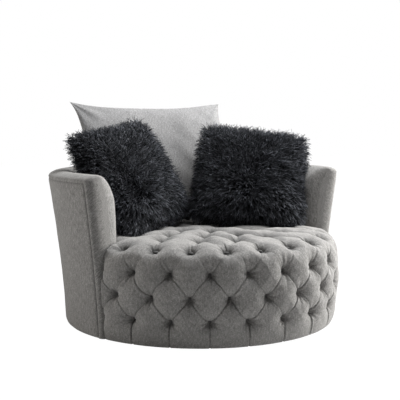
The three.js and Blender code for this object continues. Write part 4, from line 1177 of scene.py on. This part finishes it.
class CHAIR_OT_seat(ChairOperator, bpy.types.Operator):
    """The deep-buttoned seat cover and its covered buttons"""
    bl_idname = "chair.seat"
    bl_label = "Seat"

    def build(self, scene):
        finish = scene.chair_finish
        make_seat_cover(scene.chair_seat, chenille("seat_chenille", finish, 0.36))
        # The buttons' cloth is the seat fabric at 0.3 of its tone: shade from the pits painted onto the
        # buttons.
        make_buttons(scene.chair_seat, plain_cloth("button_cloth", scaled(finish.fabric, 0.3), 500))


class CHAIR_OT_shell(ChairOperator, bpy.types.Operator):
    """The padded arms and back, and the outer cover"""
    bl_idname = "chair.shell"
    bl_label = "Back and arms"

    def build(self, scene):
        material = chenille("shell_chenille", scene.chair_finish, 0.4)
        make_pad(scene.chair_shell, material)
        make_outer_panel(scene.chair_shell, material)


class CHAIR_OT_back_pillow(ChairOperator, bpy.types.Operator):
    """The loose back pillow"""
    bl_idname = "chair.back_pillow"
    bl_label = "Back pillow"

    def build(self, scene):
        pillow = {key: getattr(scene.chair_back_pillow, key) for key in PillowSettings.__annotations__}
        cloth = chenille("pillow_chenille", scene.chair_finish, 0.2, (0.91, 0.925, 0.96))
        make_back_pillow(pillow, cloth, plain_cloth("cushion_ticking", WHITE_COTTON, 420))


class CHAIR_OT_throw_pillows(ChairOperator, bpy.types.Operator):
    """The two throw pillows with their long pile"""
    bl_idname = "chair.throw_pillows"
    bl_label = "Throw pillows"

    def build(self, scene):
        fur = pile_material("long_pile", scene.chair_finish)
        skin = plain_cloth("pile_ground", scene.chair_finish.pile, 300)
        cotton = plain_cloth("filling_cloth", WHITE_COTTON, 420)
        growth = fur_tree()
        for side in THROW_PILLOWS:
            make_throw_pillow(side, growth, scene.chair_pile, skin, fur, cotton)


class CHAIR_PT_panel(bpy.types.Panel):
    """Lists the steps and the sizes of the chair"""
    bl_idname = "CHAIR_PT_panel"
    bl_label = "Cuddle chair"
    bl_space_type = "VIEW_3D"
    bl_region_type = "UI"
    bl_category = "Chair"

    def draw(self, context):
        for operator in OPERATORS:
            self.layout.operator(operator.bl_idname)
        for name, group in SETTINGS.items():
            box = self.layout.box()
            for key in group.__annotations__:
                box.prop(getattr(context.scene, name), key, text=key.replace("_", " ").capitalize())


OPERATORS = (CHAIR_OT_stage, CHAIR_OT_frame, CHAIR_OT_seat, CHAIR_OT_shell, CHAIR_OT_back_pillow,
             CHAIR_OT_throw_pillows)


def register():
    for group in (*SETTINGS.values(), *OPERATORS, CHAIR_PT_panel):
        bpy.utils.register_class(group)
    for name, group in SETTINGS.items():
        setattr(bpy.types.Scene, name, bpy.props.PointerProperty(type=group))


def unregister():
    for name in SETTINGS:
        delattr(bpy.types.Scene, name)
    for group in (CHAIR_PT_panel, *reversed(OPERATORS), *SETTINGS.values()):
        bpy.utils.unregister_class(group)


def main():
    register()
    bpy.ops.chair.stage()
    bpy.ops.chair.frame()
    bpy.ops.chair.seat()
    bpy.ops.chair.shell()
    bpy.ops.chair.back_pillow()
    bpy.ops.chair.throw_pillows()


if __name__ == "__main__":
    main()
